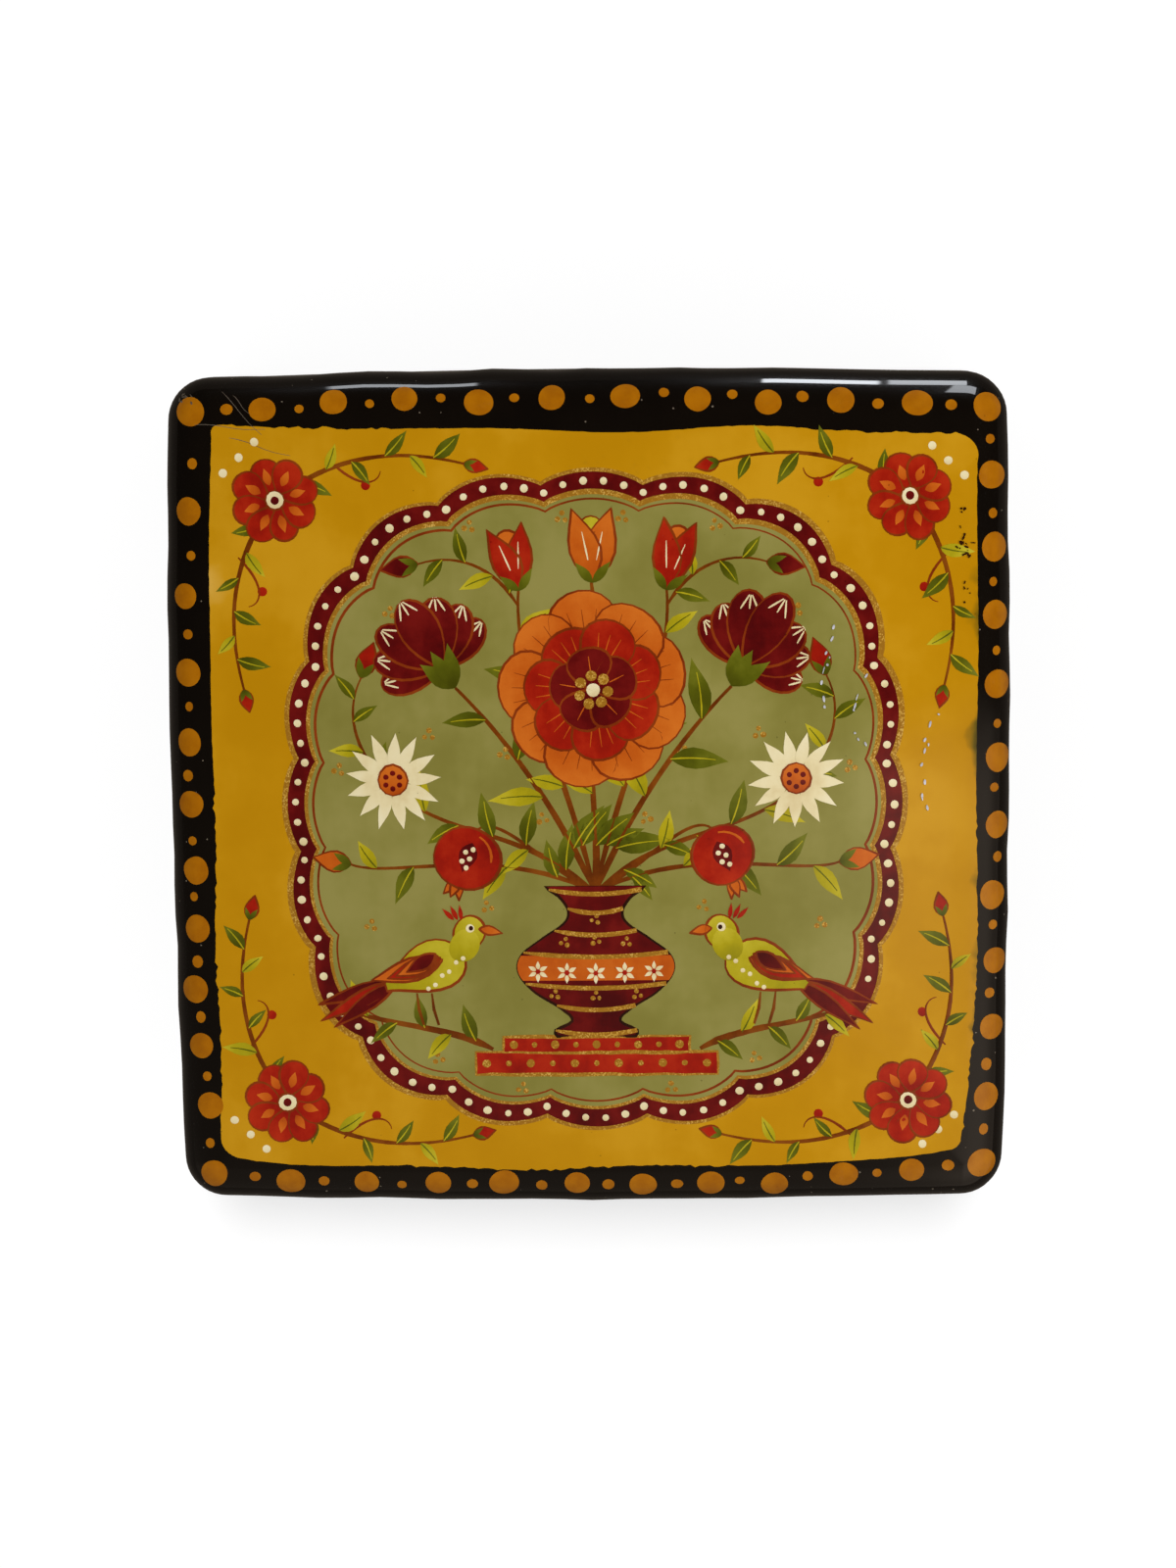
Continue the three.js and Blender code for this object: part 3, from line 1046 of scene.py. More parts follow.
@dataclass
class BarrelHinges:
    """Two three-knuckle barrel hinges with their pins, and the nails that hold their leaves."""

    line: HingeLine
    pin_radius: float = 0.6 * MM
    pin_sides: int = 28
    pin_dome: float = 0.25 * MM
    bore_clearance: float = 0.1 * MM
    bore_share: float = 0.9
    knuckle_break: float = 0.14 * MM
    leaf_start: float = 0.9 * MM
    leaf_corner: float = 1 * MM
    notch_depth: float = 4 * MM
    nail_radius: float = 0.9 * MM
    nail_height: float = 0.4 * MM
    nail_sides: int = 24
    nail_insets: Pair = (0.25 * MM, 0.35 * MM)
    nail_rise: float = 0.1 * MM
    nail_break: float = 0.15 * MM
    shank_radius: float = 0.4 * MM
    shank_lengths: Pair = (1.8 * MM, 0.6 * MM)
    shank_point: float = 0.1

    def knuckle(self, x: float) -> Piece:
        """Make one rolled knuckle with broken ends and a bore that the pin's end shows in.

        Args:
            x: The knuckle's middle along the pin.

        Returns:
            The knuckle.
        """
        line = self.line
        at = (x, line.y, line.z)
        piece = cylinder("knuckle", at, line.knuckle_radius, line.knuckle_length, line.sides)
        with editing(piece, "FACE"):
            pick(piece, "faces", lambda face: abs(face.normal.x) > LEVEL)
            wall = line.knuckle_radius - self.pin_radius - self.bore_clearance
            bpy.ops.mesh.inset(thickness=wall, use_individual=True)
            bpy.ops.mesh.extrude_region_move()
            bpy.ops.transform.resize(value=(self.bore_share, 1, 1), center_override=at)

        def on_end(edge: bmesh.types.BMEdge) -> bool:
            """Tell whether an edge runs round one of the knuckle's ends.

            Args:
                edge: The edge.

            Returns:
                True where it does.
            """
            first, second = (vert.co for vert in edge.verts)
            least = min(math.hypot(co.y - line.y, co.z - line.z) for co in (first, second))
            return least > line.knuckle_radius - NEAR and abs(first.x - second.x) < SAME

        with editing(piece, "EDGE"):
            pick(piece, "edges", on_end)
            bpy.ops.mesh.bevel(offset=self.knuckle_break, segments=3)
        return piece

    def plate(self, x: float, way: int) -> Piece:
        """Make one flat leaf that stands in its slot. The box's one is cleared below the lid's knuckle.

        Args:
            x: The hinge's middle.
            way: 1 for the lid's leaf and -1 for the box's.

        Returns:
            The leaf.
        """
        line = self.line
        high = line.leaf_reach - self.leaf_start
        middle = line.z + way * (self.leaf_start + high / 2)
        wide = line.knuckle_length if way > 0 else line.length
        piece = block("leaf", (x, line.y, middle), (wide, line.leaf_thickness, high))

        def at_corner(edge: bmesh.types.BMEdge) -> bool:
            """Tell whether an edge runs through the leaf at one of its far corners."""
            first, second = (vert.co for vert in edge.verts)
            return abs(first.y - second.y) > NEAR and (first.z - middle) * way > 0

        with editing(piece, "EDGE"):
            pick(piece, "edges", at_corner)
            bpy.ops.mesh.bevel(offset=self.leaf_corner, segments=4)
        if way < 0:
            clear = 2 * (line.knuckle_radius + line.clearance)
            size = (line.knuckle_length + 2 * line.knuckle_gap, self.notch_depth, clear)
            cut_away(piece, block("notch", (x, line.y, line.z), size))
        return piece

    def pin(self, x: float, name: str) -> Piece:
        """Make the pin through one hinge, with domed ends.

        Args:
            x: The hinge's middle.
            name: The pin's name.

        Returns:
            The pin.
        """
        line = self.line
        length = line.length + line.clearance
        piece = cylinder(name, (x, line.y, line.z), self.pin_radius, length, self.pin_sides)
        with editing(piece, "FACE"):
            pick(piece, "faces", lambda face: abs(face.normal.x) > LEVEL)
            bpy.ops.mesh.bevel(offset=self.pin_dome, segments=4)
        return shade(piece)

    def nail(self) -> Piece:
        """Make one nail along +Y, its head's seat at the origin: a raised, hammered head on a shank.

        Returns:
            The nail.
        """
        middle = (0, -self.nail_height / 2, 0)
        piece = cylinder("nail", middle, self.nail_radius, self.nail_height, self.nail_sides, (QUARTER, 0, 0))
        with editing(piece, "FACE"):
            pick(piece, "faces", lambda face: face.normal.y < -LEVEL)
            for inset in self.nail_insets:
                bpy.ops.mesh.inset(thickness=inset)
            bpy.ops.transform.translate(value=(0, -self.nail_rise, 0))
            pick(piece, "faces", lambda face: face.normal.y > LEVEL)
            bpy.ops.mesh.inset(thickness=self.nail_radius - self.shank_radius)
            for length in self.shank_lengths:
                bpy.ops.mesh.extrude_region_move(TRANSFORM_OT_translate={"value": (0, length, 0)})
            bpy.ops.transform.resize(value=(self.shank_point, 1, self.shank_point))

        def on_head(vert: bmesh.types.BMVert) -> bool:
            """Tell whether a vertex lies on the head's outer edge."""
            wide = math.hypot(vert.co.x, vert.co.z) > self.nail_radius - NEAR
            return wide and vert.co.y < NEAR - self.nail_height

        with editing(piece, "EDGE"):
            pick(piece, "edges", lambda edge: all(on_head(vert) for vert in edge.verts))
            bpy.ops.mesh.bevel(offset=self.nail_break, segments=3)
        return shade(piece)

    def build(self, brass: Material) -> None:
        """Build and dress both hinges and all the nails.

        Args:
            brass: Their material.
        """
        step = self.line.knuckle_length + self.line.knuckle_gap
        for side, x in self.line.middles():
            parts = [self.plate(x, -1), self.knuckle(x - step), self.knuckle(x + step)]
            leaf = join(parts, f"{side}_box_leaf")
            dress(shade(leaf), [brass], "box", "brass", f"{side}_hinge_box_leaf")
            leaf = join([self.plate(x, 1), self.knuckle(x)], f"{side}_lid_leaf")
            dress(shade(leaf), [brass], "lid", "brass", f"{side}_hinge_lid_leaf")
            dress(self.pin(x, f"{side}_pin"), [brass], "box", "brass", f"{side}_hinge_pin")
        first = self.nail()
        for body, part in (("box", "wall"), ("lid", "lid")):
            for side, _ in self.line.middles():
                for number in (1, 2):
                    node = f"{part}_nail_{side}_{number}"
                    low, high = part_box(node)
                    copy = first.copy()
                    copy.data = first.data.copy()
                    bpy.context.scene.collection.objects.link(copy)
                    seat = Vector(((low.x + high.x) / 2, low.y + self.nail_height, (low.z + high.z) / 2))
                    copy.data.transform(Matrix.Translation(seat))
                    copy.name = copy.data.name = f"{part}_rivet_{side}_{number}"
                    dress(copy, [brass], body, "brass", node)
        bpy.data.objects.remove(first)


class Stencil:
    """One touch of the brush, a unit long along +Y: the edge of a circle shaped by a profile."""

    def __init__(self, profile: Callable[[float], float], points: int) -> None:
        """Shape a circle by a profile.

        Args:
            profile: The touch's width, from 0 to 1, against the way along it from 0 to 1.
            points: Points round it.
        """
        deselect_all()
        bpy.ops.mesh.primitive_circle_add(vertices=points, radius=1, fill_type="NGON")
        made = bpy.context.object
        self.outline: list[Vector] = []
        for vert in made.data.vertices:
            angle = math.atan2(vert.co.x, -vert.co.y)
            along = (1 - math.cos(angle)) / 2
            self.outline.append(Vector((math.copysign(profile(along), math.sin(angle)) / 2, along)))
        bpy.data.objects.remove(made)


def round_profile(along: float) -> float:
    """A plain round touch."""
    return math.sqrt(max(0.0, 1 - (2 * along - 1) ** 2))


def leaf_profile(along: float) -> float:
    """A leaf with a drawn-out tip."""
    return max(0.0, math.sin(math.pi * along**0.78)) ** 1.15


def bulb_profile(shoulder: float, foot: float, power: float) -> Callable[[float], float]:
    """Make a touch that swells from its foot to a shoulder and is round beyond it.

    Args:
        shoulder: Where along it is widest.
        foot: Its width at its foot.
        power: How slowly it swells.

    Returns:
        The profile.
    """

    def profile(along: float) -> float:
        """Give the width at a place.

        Args:
            along: The way along the touch, from 0 to 1.

        Returns:
            The width, from 0 to 1.
        """
        if along > shoulder:
            return math.sqrt(max(0.0, 1 - ((along - shoulder) / (1 - shoulder)) ** 2))
        return foot + (1 - foot) * math.sin(QUARTER * along / shoulder) ** power

    return profile


@dataclass
class PaintLayer:
    """All of one paint on one carrier: solid touches and drawn lines, laid flat and then bedded on it."""

    points: list[tuple[float, float, float]] = field(default_factory=list)
    along: list[float] = field(default_factory=list)
    faces: list[tuple[int, ...]] = field(default_factory=list)
    lines: list[tuple[list[Vector], list[float], float, bool]] = field(default_factory=list)
    under: float = -0.02
    line_sides: int = 4
    line_flat: float = 0.03

    def touch(
        self,
        outline: Sequence[Vector],
        along: Sequence[float],
        height: float,
        shares: Sequence[float],
        keep: float = 1.0,
    ) -> None:
        """Lay a solid touch.

        Args:
            outline: Its edge in plan, in millimetres, counter-clockwise.
            along: The way along the brush at each of those points.
            height: How far its top stands over the carrier, in millimetres.
            shares: How far out each ring of points lies, the last on the edge.
            keep: How close to the edge the edge's values stay, as a power.
        """
        count = len(outline)
        first = len(self.points)
        middle = sum(outline, Vector((0, 0))) / count
        mean = sum(along) / count if keep == 1.0 else 0.5
        self.points.append((middle.x, middle.y, height))
        self.along.append(mean)
        for share, level in [(share, height) for share in shares] + [(1.0, self.under)]:
            self.points += [(*middle.lerp(p, share), level) for p in outline]
            self.along += [mean + (value - mean) * share**keep for value in along]
        for i in range(count):
            j = (i + 1) % count
            self.faces.append((first, first + 1 + i, first + 1 + j))
            for ring in range(len(shares)):
                here = first + 1 + ring * count
                self.faces.append((here + i, here + count + i, here + count + j, here + j))
        lowest = first + 1 + len(shares) * count
        self.faces.append(tuple(range(lowest + count - 1, lowest - 1, -1)))

    def weave(self, rows: Sequence[Sequence[Vector]], along: Sequence[float], height: float) -> None:
        """Lay a solid touch from rows of points, for shapes with a waist.

        Args:
            rows: Rows of equal length, each from left to right, from the bottom row up.
            along: The way along the brush at each row.
            height: How far its top stands over the carrier.
        """
        first = len(self.points)
        wide, high = len(rows[0]), len(rows)
        for level in (height, self.under):
            for row, share in zip(rows, along, strict=True):
                self.points += [(p.x, p.y, level) for p in row]
                self.along += [share] * wide
        count = wide * high
        for side, start in enumerate((first, first + count)):
            for r in range(high - 1):
                for c in range(wide - 1):
                    here = start + r * wide + c
                    quad = (here, here + 1, here + wide + 1, here + wide)
                    self.faces.append(quad if side == 0 else quad[::-1])
        loop = [first + c for c in range(wide - 1)]
        loop += [first + r * wide + wide - 1 for r in range(high - 1)]
        loop += [first + (high - 1) * wide + c for c in range(wide - 1, 0, -1)]
        loop += [first + r * wide for r in range(high - 1, 0, -1)]
        for here, there in zip(loop, [*loop[1:], loop[0]], strict=True):
            self.faces.append((there, here, here + count, there + count))

    def line(
        self, path: Sequence[Vector], widths: Sequence[float], height: float, closed: bool = False
    ) -> None:
        """Draw a line along a path in plan, with a width at each point, all in millimetres."""
        self.lines.append((list(path), list(widths), height, closed))

    def line_mesh(self, name: str) -> Piece:
        """Sweep every line as a curve with its own widths and flatten it to a skin of paint.

        Args:
            name: The piece's name.

        Returns:
            The piece.
        """
        deselect_all()
        bpy.ops.curve.primitive_bezier_curve_add()
        curve = bpy.context.object.data
        curve.splines.clear()
        curve.twist_mode = "Z_UP"
        curve.bevel_depth = 1.0
        curve.bevel_resolution = 0
        levels = []
        for path, widths, height, closed in self.lines:
            spline = curve.splines.new("POLY")
            spline.points.add(len(path) - 1)
            spline.use_cyclic_u = closed
            for point, place, width in zip(spline.points, path, widths, strict=True):
                point.co = (place.x, place.y, 0, 1)
                point.radius = width / 2
            levels += [height] * (self.line_sides * len(path))
        make_active(bpy.context.object)
        bpy.ops.object.convert(target="MESH")
        piece = bpy.context.object
        piece.name = piece.data.name = name
        for vert, level in zip(piece.data.vertices, levels, strict=True):
            vert.co.z = vert.co.z * self.line_flat + level
        with editing(piece, "EDGE"):
            bpy.ops.mesh.select_all(action="SELECT")
            bpy.ops.mesh.fill_holes(sides=self.line_sides)
        shares = piece.data.attributes.new("along", "FLOAT", "POINT")
        shares.data.foreach_set("value", [0.5] * len(levels))
        return piece

    def build(self, name: str, bed: Callable[[float, float, float], Vector]) -> Piece:
        """Build the layer's one piece and bed it on its carrier.

        Args:
            name: The piece's name.
            bed: Takes a place in plan and a height, all in metres, to a place on the carrier.

        Returns:
            The piece.
        """
        made = []
        if self.faces:
            mesh = bpy.data.meshes.new(name)
            mesh.from_pydata(self.points, [], self.faces)
            shares = mesh.attributes.new("along", "FLOAT", "POINT")
            shares.data.foreach_set("value", self.along)
            solid = bpy.data.objects.new(name, mesh)
            bpy.context.scene.collection.objects.link(solid)
            made.append(solid)
        if self.lines:
            made.append(self.line_mesh(name + "_lines"))
        piece = join(made, name)
        for vert in piece.data.vertices:
            vert.co = bed(vert.co.x * MM, vert.co.y * MM, vert.co.z * MM)
        with editing(piece, "FACE"):
            bpy.ops.mesh.select_all(action="SELECT")
            bpy.ops.mesh.normals_make_consistent(inside=False)
        return shade(piece, 40)


def bezier(start: Vector, first: Vector, second: Vector, end: Vector, count: int = 24) -> list[Vector]:
    """Points along a cubic curve from its start, by its two handles, to its end."""
    shares = [(1 - i / (count - 1), i / (count - 1)) for i in range(count)]
    return [s**3 * start + 3 * s * s * t * first + 3 * s * t * t * second + t**3 * end for s, t in shares]


def heading(way: Vector) -> float:
    """The direction of a vector in degrees, counter-clockwise from straight up the lid."""
    return math.degrees(math.atan2(-way.x, way.y))


def pointing(degrees: float) -> Vector:
    """The unit vector of a direction in degrees, counter-clockwise from straight up the lid."""
    return Vector((-math.sin(math.radians(degrees)), math.cos(math.radians(degrees))))


@dataclass
class Easel:
    """Keeps the paint layers and lays touches and lines with a steady but human hand."""

    seed: int
    layers: dict[Pigment, PaintLayer] = field(default_factory=dict)
    height: float = 0.0
    step: float = 0.005
    line_step: float = 0.0005
    outline_lift: float = 0.001
    swell: float = 0.05
    big_dot: float = 1.8
    big_shares: tuple[float, ...] = (0.3, 0.55, 0.75, 0.9, 1.0)

    def __post_init__(self) -> None:
        """Cut the stencils and seed the hand."""
        self.hand = random.Random(self.seed)
        self.round = Stencil(round_profile, 24)
        self.small_round = Stencil(round_profile, 12)
        self.petal = Stencil(bulb_profile(0.62, 0.0, 0.85), 22)
        self.leaf = Stencil(leaf_profile, 18)
        self.breast = Stencil(bulb_profile(0.66, 0.16, 1.2), 26)

    def layer(self, pigment: Pigment) -> PaintLayer:
        """The layer of one paint, begun when it is first asked for."""
        return self.layers.setdefault(pigment, PaintLayer())

    def dab(
        self,
        pigment: Pigment,
        stencil: Stencil,
        at: Vector,
        turn: float,
        length: float,
        width: float,
        pen: float = 0.0,
        bend: float = 0.0,
        shares: Sequence[float] = (0.5, 1.0),
    ) -> None:
        """Lay one touch and, if asked, its sienna outline.

        Args:
            pigment: The paint.
            stencil: The touch's shape.
            at: Where it starts.
            turn: Its direction in degrees, counter-clockwise from straight up the lid.
            length: Its length.
            width: Its greatest width.
            pen: The outline's width, or 0 for none.
            bend: How far its tip swings to its right, as a share of its length.
            shares: How far out its rings of points lie.
        """
        hand = self.hand
        length *= hand.uniform(0.95, 1.05)
        width *= hand.uniform(0.94, 1.06)
        turning = Matrix.Rotation(math.radians(turn + hand.uniform(-2, 2)), 2)
        waves = []
        for often in (2, 3, 4):
            size = self.swell / often**1.6 * hand.gauss(0, 1)
            waves.append((often, size, hand.uniform(0, math.tau)))
        outline = []
        for number, p in enumerate(stencil.outline):
            angle = math.tau * number / len(stencil.outline)
            swell = 1 + sum(size * math.sin(often * angle + phase) for often, size, phase in waves)
            x = p.x * width * swell + bend * length * p.y**2
            outline.append(at + turning @ Vector((x, (0.5 + (p.y - 0.5) * swell) * length)))
        self.layer(pigment).touch(outline, [p.y for p in stencil.outline], self.height, shares)
        if pen:
            self.ring(Pigment.SIENNA, outline, pen, self.height + self.outline_lift)
        self.height += self.step

    def ring(self, pigment: Pigment, outline: Sequence[Vector], width: float, height: float) -> None:
        """Draw a closed line whose width wanders a little.

        Args:
            pigment: The paint.
            outline: The line's points.
            width: Its mean width.
            height: How far it stands over the carrier.
        """
        phase = self.hand.uniform(0, math.tau)
        turns = self.hand.choice((1, 2))
        count = len(outline)
        widths = [width * (1 + 0.3 * math.sin(phase + turns * math.tau * i / count)) for i in range(count)]
        self.layer(pigment).line(outline, widths, height, closed=True)

    def stroke(self, pigment: Pigment, path: Sequence[Vector], width: float, taper: float = 0.75) -> None:
        """Draw an open line, full near its start and thinner towards its end.

        Args:
            pigment: The paint.
            path: The line's points.
            width: Its width where the brush is set down.
            taper: How much of that width it loses by its end.
        """
        last = len(path) - 1
        widths = []
        for i in range(len(path)):
            share = i / last
            press = min(1.0, 0.45 + 4 * share)
            widths.append(width * press * (1 - taper * share) * self.hand.uniform(0.93, 1.07))
        self.layer(pigment).line(path, widths, self.height)
        self.height += self.line_step

    def dot(self, pigment: Pigment, at: Vector, size: float, squash: float = 1.0, turn: float = 0.0) -> None:
        """Set down one dot.

        Args:
            pigment: The paint.
            at: Its middle.
            size: Its diameter.
            squash: Its height as a share of its width.
            turn: The direction of its height in degrees.
        """
        high = size * squash
        stencil, shares = (self.round, self.big_shares) if size > self.big_dot else (self.small_round, (1.0,))
        self.dab(pigment, stencil, at - pointing(turn) * high / 2, turn, high, size, shares=shares)
        self.height -= self.step

    def speck(self, pigment: Pigment, at: Vector, turn: float, length: float, width: float) -> None:
        """Set down a small touch that leaves the height as it was."""
        self.dab(pigment, self.small_round, at, turn, length, width)
        self.height -= self.step

    def trio(self, pigment: Pigment, at: Vector, size: float) -> None:
        """Set down three dots in a small triangle.

        Args:
            pigment: The paint.
            at: The triangle's middle.
            size: The dots' diameter.
        """
        turn = self.hand.uniform(-20, 20)
        for k in range(3):
            self.dot(pigment, at + pointing(turn + 120 * k) * 0.8 * size, size * self.hand.uniform(0.85, 1.1))


@dataclass
class BorderDots:
    """The lid's black border: large ochre dots along each side with a small one in each gap."""

    gaps: int = 11
    large: float = 3.0
    small: float = 1.2
    squash: float = 0.88
    corner_size: float = 1.02
    corner_squash: float = 0.97
    stray: float = 0.2
    coat: float = 0.03
    corners: Pairs = ((-41.5, 40.9), (42.2, 40.8), (42.0, -40.3), (-40.9, -41.1))
    bulges: tuple[float, ...] = (1.3, 1.2, 1.9, 1.2)
    drifts: tuple[float, ...] = (0.0, 0.0, 0.12, 0.43)

    def paint(self, easel: Easel) -> None:
        """Set down the dots of all four sides.

        Args:
            easel: Where the paint layers are kept.
        """
        easel.height = self.coat
        hand = easel.hand
        for side, (bulge, drift) in enumerate(zip(self.bulges, self.drifts, strict=True)):
            start = Vector(self.corners[side])
            end = Vector(self.corners[(side + 1) % 4])
            outward = Matrix.Rotation(QUARTER, 2) @ (end - start).normalized()
            turn = heading(outward)
            for step in range(2 * self.gaps):
                share = step / (2 * self.gaps)
                share -= drift * share**2 * (1 - share)
                at = start.lerp(end, share) + outward * bulge * 4 * share * (1 - share)
                jitter = Vector((hand.gauss(0, self.stray), hand.gauss(0, self.stray)))
                if step == 0:
                    size = self.large * self.corner_size
                    easel.dot(Pigment.BORDER, at, size, self.corner_squash, turn + 45)
                    continue
                size, least, most = (self.small, 0.8, 1.15) if step % 2 else (self.large, 0.93, 1.05)
                easel.dot(Pigment.BORDER, at + jitter, size * hand.uniform(least, most), self.squash, turn)


@dataclass
class WallDots:
    """A row of the same dots round the walls, laid along the walls' length and up from the base."""

    plan: Plan
    inset: float = 0.5 * MM
    up: float = 24.4
    large: float = 3.0
    small: float = 1.2
    gaps: int = 40
    stray: float = 0.2
    coat: float = 0.03

    def __post_init__(self) -> None:
        """Measure the way round the walls."""
        self.ring = [p.xy for p in self.plan.ring(self.inset, 0.0)]
        self.stations = [0.0]
        for here, there in zip(self.ring, [*self.ring[1:], self.ring[0]], strict=True):
            self.stations.append(self.stations[-1] + (there - here).length)

    def bed(self, way: float, up: float, height: float) -> Vector:
        """Take a place along and up the walls to its place on them.

        Args:
            way: The way round the walls.
            up: The height over the floor.
            height: How far off the wall.

        Returns:
            The place.
        """
        way %= self.stations[-1]
        number = max(i for i, station in enumerate(self.stations[:-1]) if station <= way)
        here, there = self.ring[number], self.ring[(number + 1) % len(self.ring)]
        run = (there - here).normalized()
        spot = here + run * (way - self.stations[number]) + Vector((run.y, -run.x)) * height
        return Vector((spot.x, spot.y, up))

    def build(self, seed: int) -> Piece:
        """Build the row as one piece.

        Args:
            seed: The hand's seed.

        Returns:
            The row.
        """
        easel = Easel(seed)
        easel.height = self.coat
        hand = easel.hand
        pitch = self.stations[-1] / MM / self.gaps
        for step in range(2 * self.gaps):
            at = Vector((step / 2 * pitch + hand.gauss(0, self.stray), self.up + hand.gauss(0, self.stray)))
            size = self.small if step % 2 else self.large
            easel.dot(Pigment.BORDER, at, size * hand.uniform(0.9, 1.06))
        return easel.layer(Pigment.BORDER).build("wall_dots", self.bed)


@dataclass
class Panel:
    """The painted panel inside the border: a vase of flowers between two birds on a lobed ground."""

    easel: Easel
    left: float = -39.9
    right: float = 41.2
    top: float = 38.8
    bottom: float = -40.4
    corners: tuple[float, ...] = (2.4, 0.8, 2.2, 0.9)
    pulls: Pairs = ((-1.7, 1.9), (0.0, -0.6), (0.6, 0.5), (-0.2, 1.3))
    pull_reach: float = 7.5
    top_tilt: float = 0.008
    side_steps: int = 150
    corner_steps: int = 7
    # The right edge darkens where the paint runs thin; the left edge's paler band is a painted sheen.
    right_wear: float = -0.62
    left_sheen: float = 0.5
    wear_and_sheen_keep: float = 26.0
    half_wide: float = 33.0
    half_high: float = 35.4
    squareness: float = 2.7
    lobes: int = 20
    lobe_depth: float = 0.038
    band: float = 2.3
    pearl_pitch: float = 2.1
    corner_flower: Pair = (33.4, 32.4)
    vine: Pairs = ((0, 0), (7, 5.4), (14, 5.2), (20, 3.7))
    tendril: Pairs = ((6, 4.0), (9, 1.0), (11, 1.6), (11.2, 3.0))
    vase_foot: float = -25.2
    vase_tall: float = 16.4
    bird_at: Pair = (18.6, -17.6)
    ground_coat: float = 0.012
    band_coat: float = 0.024
    band_line_coat: float = 0.032
    sage_coat: float = 0.036
    inner_line_coat: float = 0.042
    sage_line_coat: float = 0.044
    pearl_coat: float = 0.034
    stem_coat: float = 0.046
    gold_coat: float = 0.05
    leaf_coat: float = 0.052
    bud_coat: float = 0.064
    bird_coat: float = 0.068
    flower_coat: float = 0.07
    vase_coat: float = 0.072
    lift: float = 0.004
    body_lift: float = 0.006
    vein_dip: float = 0.0035
    vein_rise: float = 0.003
    touch_dip: float = 0.0015
    pen: float = 0.22
    fine_pen: float = 0.2
    full_pen: float = 0.26
    full_shares: tuple[float, ...] = (0.33, 0.66, 1.0)

    def place(self, x: float, y: float) -> Vector:
        """A place measured from the panel's middle."""
        return Vector(((self.left + self.right) / 2 + x, (self.top + self.bottom) / 2 + y))

    def paint(self) -> None:
        """Lay the whole panel, from its grounds up."""
        self.ground()
        self.medallion()
        self.spandrels()
        self.bouquet()
        self.stand()
        self.vase()
        for side in (-1, 1):
            self.bird(side)
        self.scattered_gold()

    def ground(self) -> None:
        """Lay the ochre ground: its edge wavers and is thin along the right side, with a painted sheen that
        makes it paler at the left.
        """
        hand = self.easel.hand
        reach = Vector(((self.right - self.left) / 2, (self.top - self.bottom) / 2))
        outline: list[Vector] = []
        wear_and_sheen: list[float] = []
        for side, corner in enumerate(self.corners):
            before = self.corners[side - 1]
            turn = Matrix.Rotation(side * QUARTER, 2)
            half, run = reach if side % 2 == 0 else reach.yx
            ranges = ((0.05, 0.15), (2, 11), (0, math.tau))
            waves = [[hand.uniform(*ends) for ends in ranges] for _ in range(4)]
            for i in range(self.side_steps):
                share = i / self.side_steps
                along = -run + before + share * (2 * run - before - corner)
                calm = math.sin(math.pi * share) ** 0.3
                way = 2 * share - 1
                push = calm * sum(size * math.sin(often * way + phase) for size, often, phase in waves)
                ragged = 0.075 if math.sin(6.2 * share + 1.7 * side) > 0.1 else 0.02
                outline.append(self.place(*(turn @ Vector((half + push + hand.gauss(0, ragged), along)))))
                patches = math.sin(9 * share + waves[0][2]) * math.sin(23 * share + waves[1][2])
                # Right side: darker where the paint runs thin. Left side: a paler band, strongest at the top,
                # that is a painted sheen.
                rubbed = (self.right_wear, 0.0, self.left_sheen * max(0.0, 0.75 - share), 0.0)[side]
                wear_and_sheen.append(0.5 + calm * (0.7 + 0.3 * patches) * rubbed)
            for i in range(self.corner_steps):
                angle = i / self.corner_steps * QUARTER
                x, y = half - corner + corner * math.cos(angle), run - corner + corner * math.sin(angle)
                outline.append(self.place(*(turn @ Vector((x, y)))))
                wear_and_sheen.append(0.5)
        outline = [self.pulled(p) for p in outline]
        shares = [0.07 * i for i in range(1, 13)] + [0.88, 0.91, 0.93, 0.945, 0.96, 0.97, 0.98, 0.99, 1.0]
        self.easel.layer(Pigment.GROUND).touch(outline, wear_and_sheen, self.ground_coat, shares, self.wear_and_sheen_keep)

    def pulled(self, point: Vector) -> Vector:
        """Move a point of the ground's edge as the hand did that cut its corners short and sloped its top.

        Args:
            point: The point.

        Returns:
            Where it lands.
        """
        across = (self.right, self.right, self.left, self.left)
        up = (self.bottom, self.top, self.top, self.bottom)
        moved = point.copy()
        for x, y, pull in zip(across, up, self.pulls, strict=True):
            away = abs(point.x - x) + abs(point.y - y)
            moved += Vector(pull) * math.exp(-away / self.pull_reach)
        moved.y -= self.top_tilt * point.x * math.exp((point.y - self.top) / self.pull_reach)
        return moved

    def lobed(self, inset: float, count: int = 320) -> list[Vector]:
        """The lobed medallion's edge.

        Args:
            inset: How far inside its outermost edge.
            count: How many points.

        Returns:
            The points, counter-clockwise.
        """
        points = []
        power = self.squareness
        wide, high = self.half_wide - inset, self.half_high - inset
        for i in range(count):
            angle = math.tau * i / count
            x, y = math.cos(angle), math.sin(angle)
            reach = (abs(x / wide) ** power + abs(y / high) ** power) ** (-1 / power)
            reach *= 1 - self.lobe_depth + self.lobe_depth * abs(math.cos(self.lobes / 2 * angle)) ** 0.8
            points.append(self.place(reach * x, reach * y))
        return points

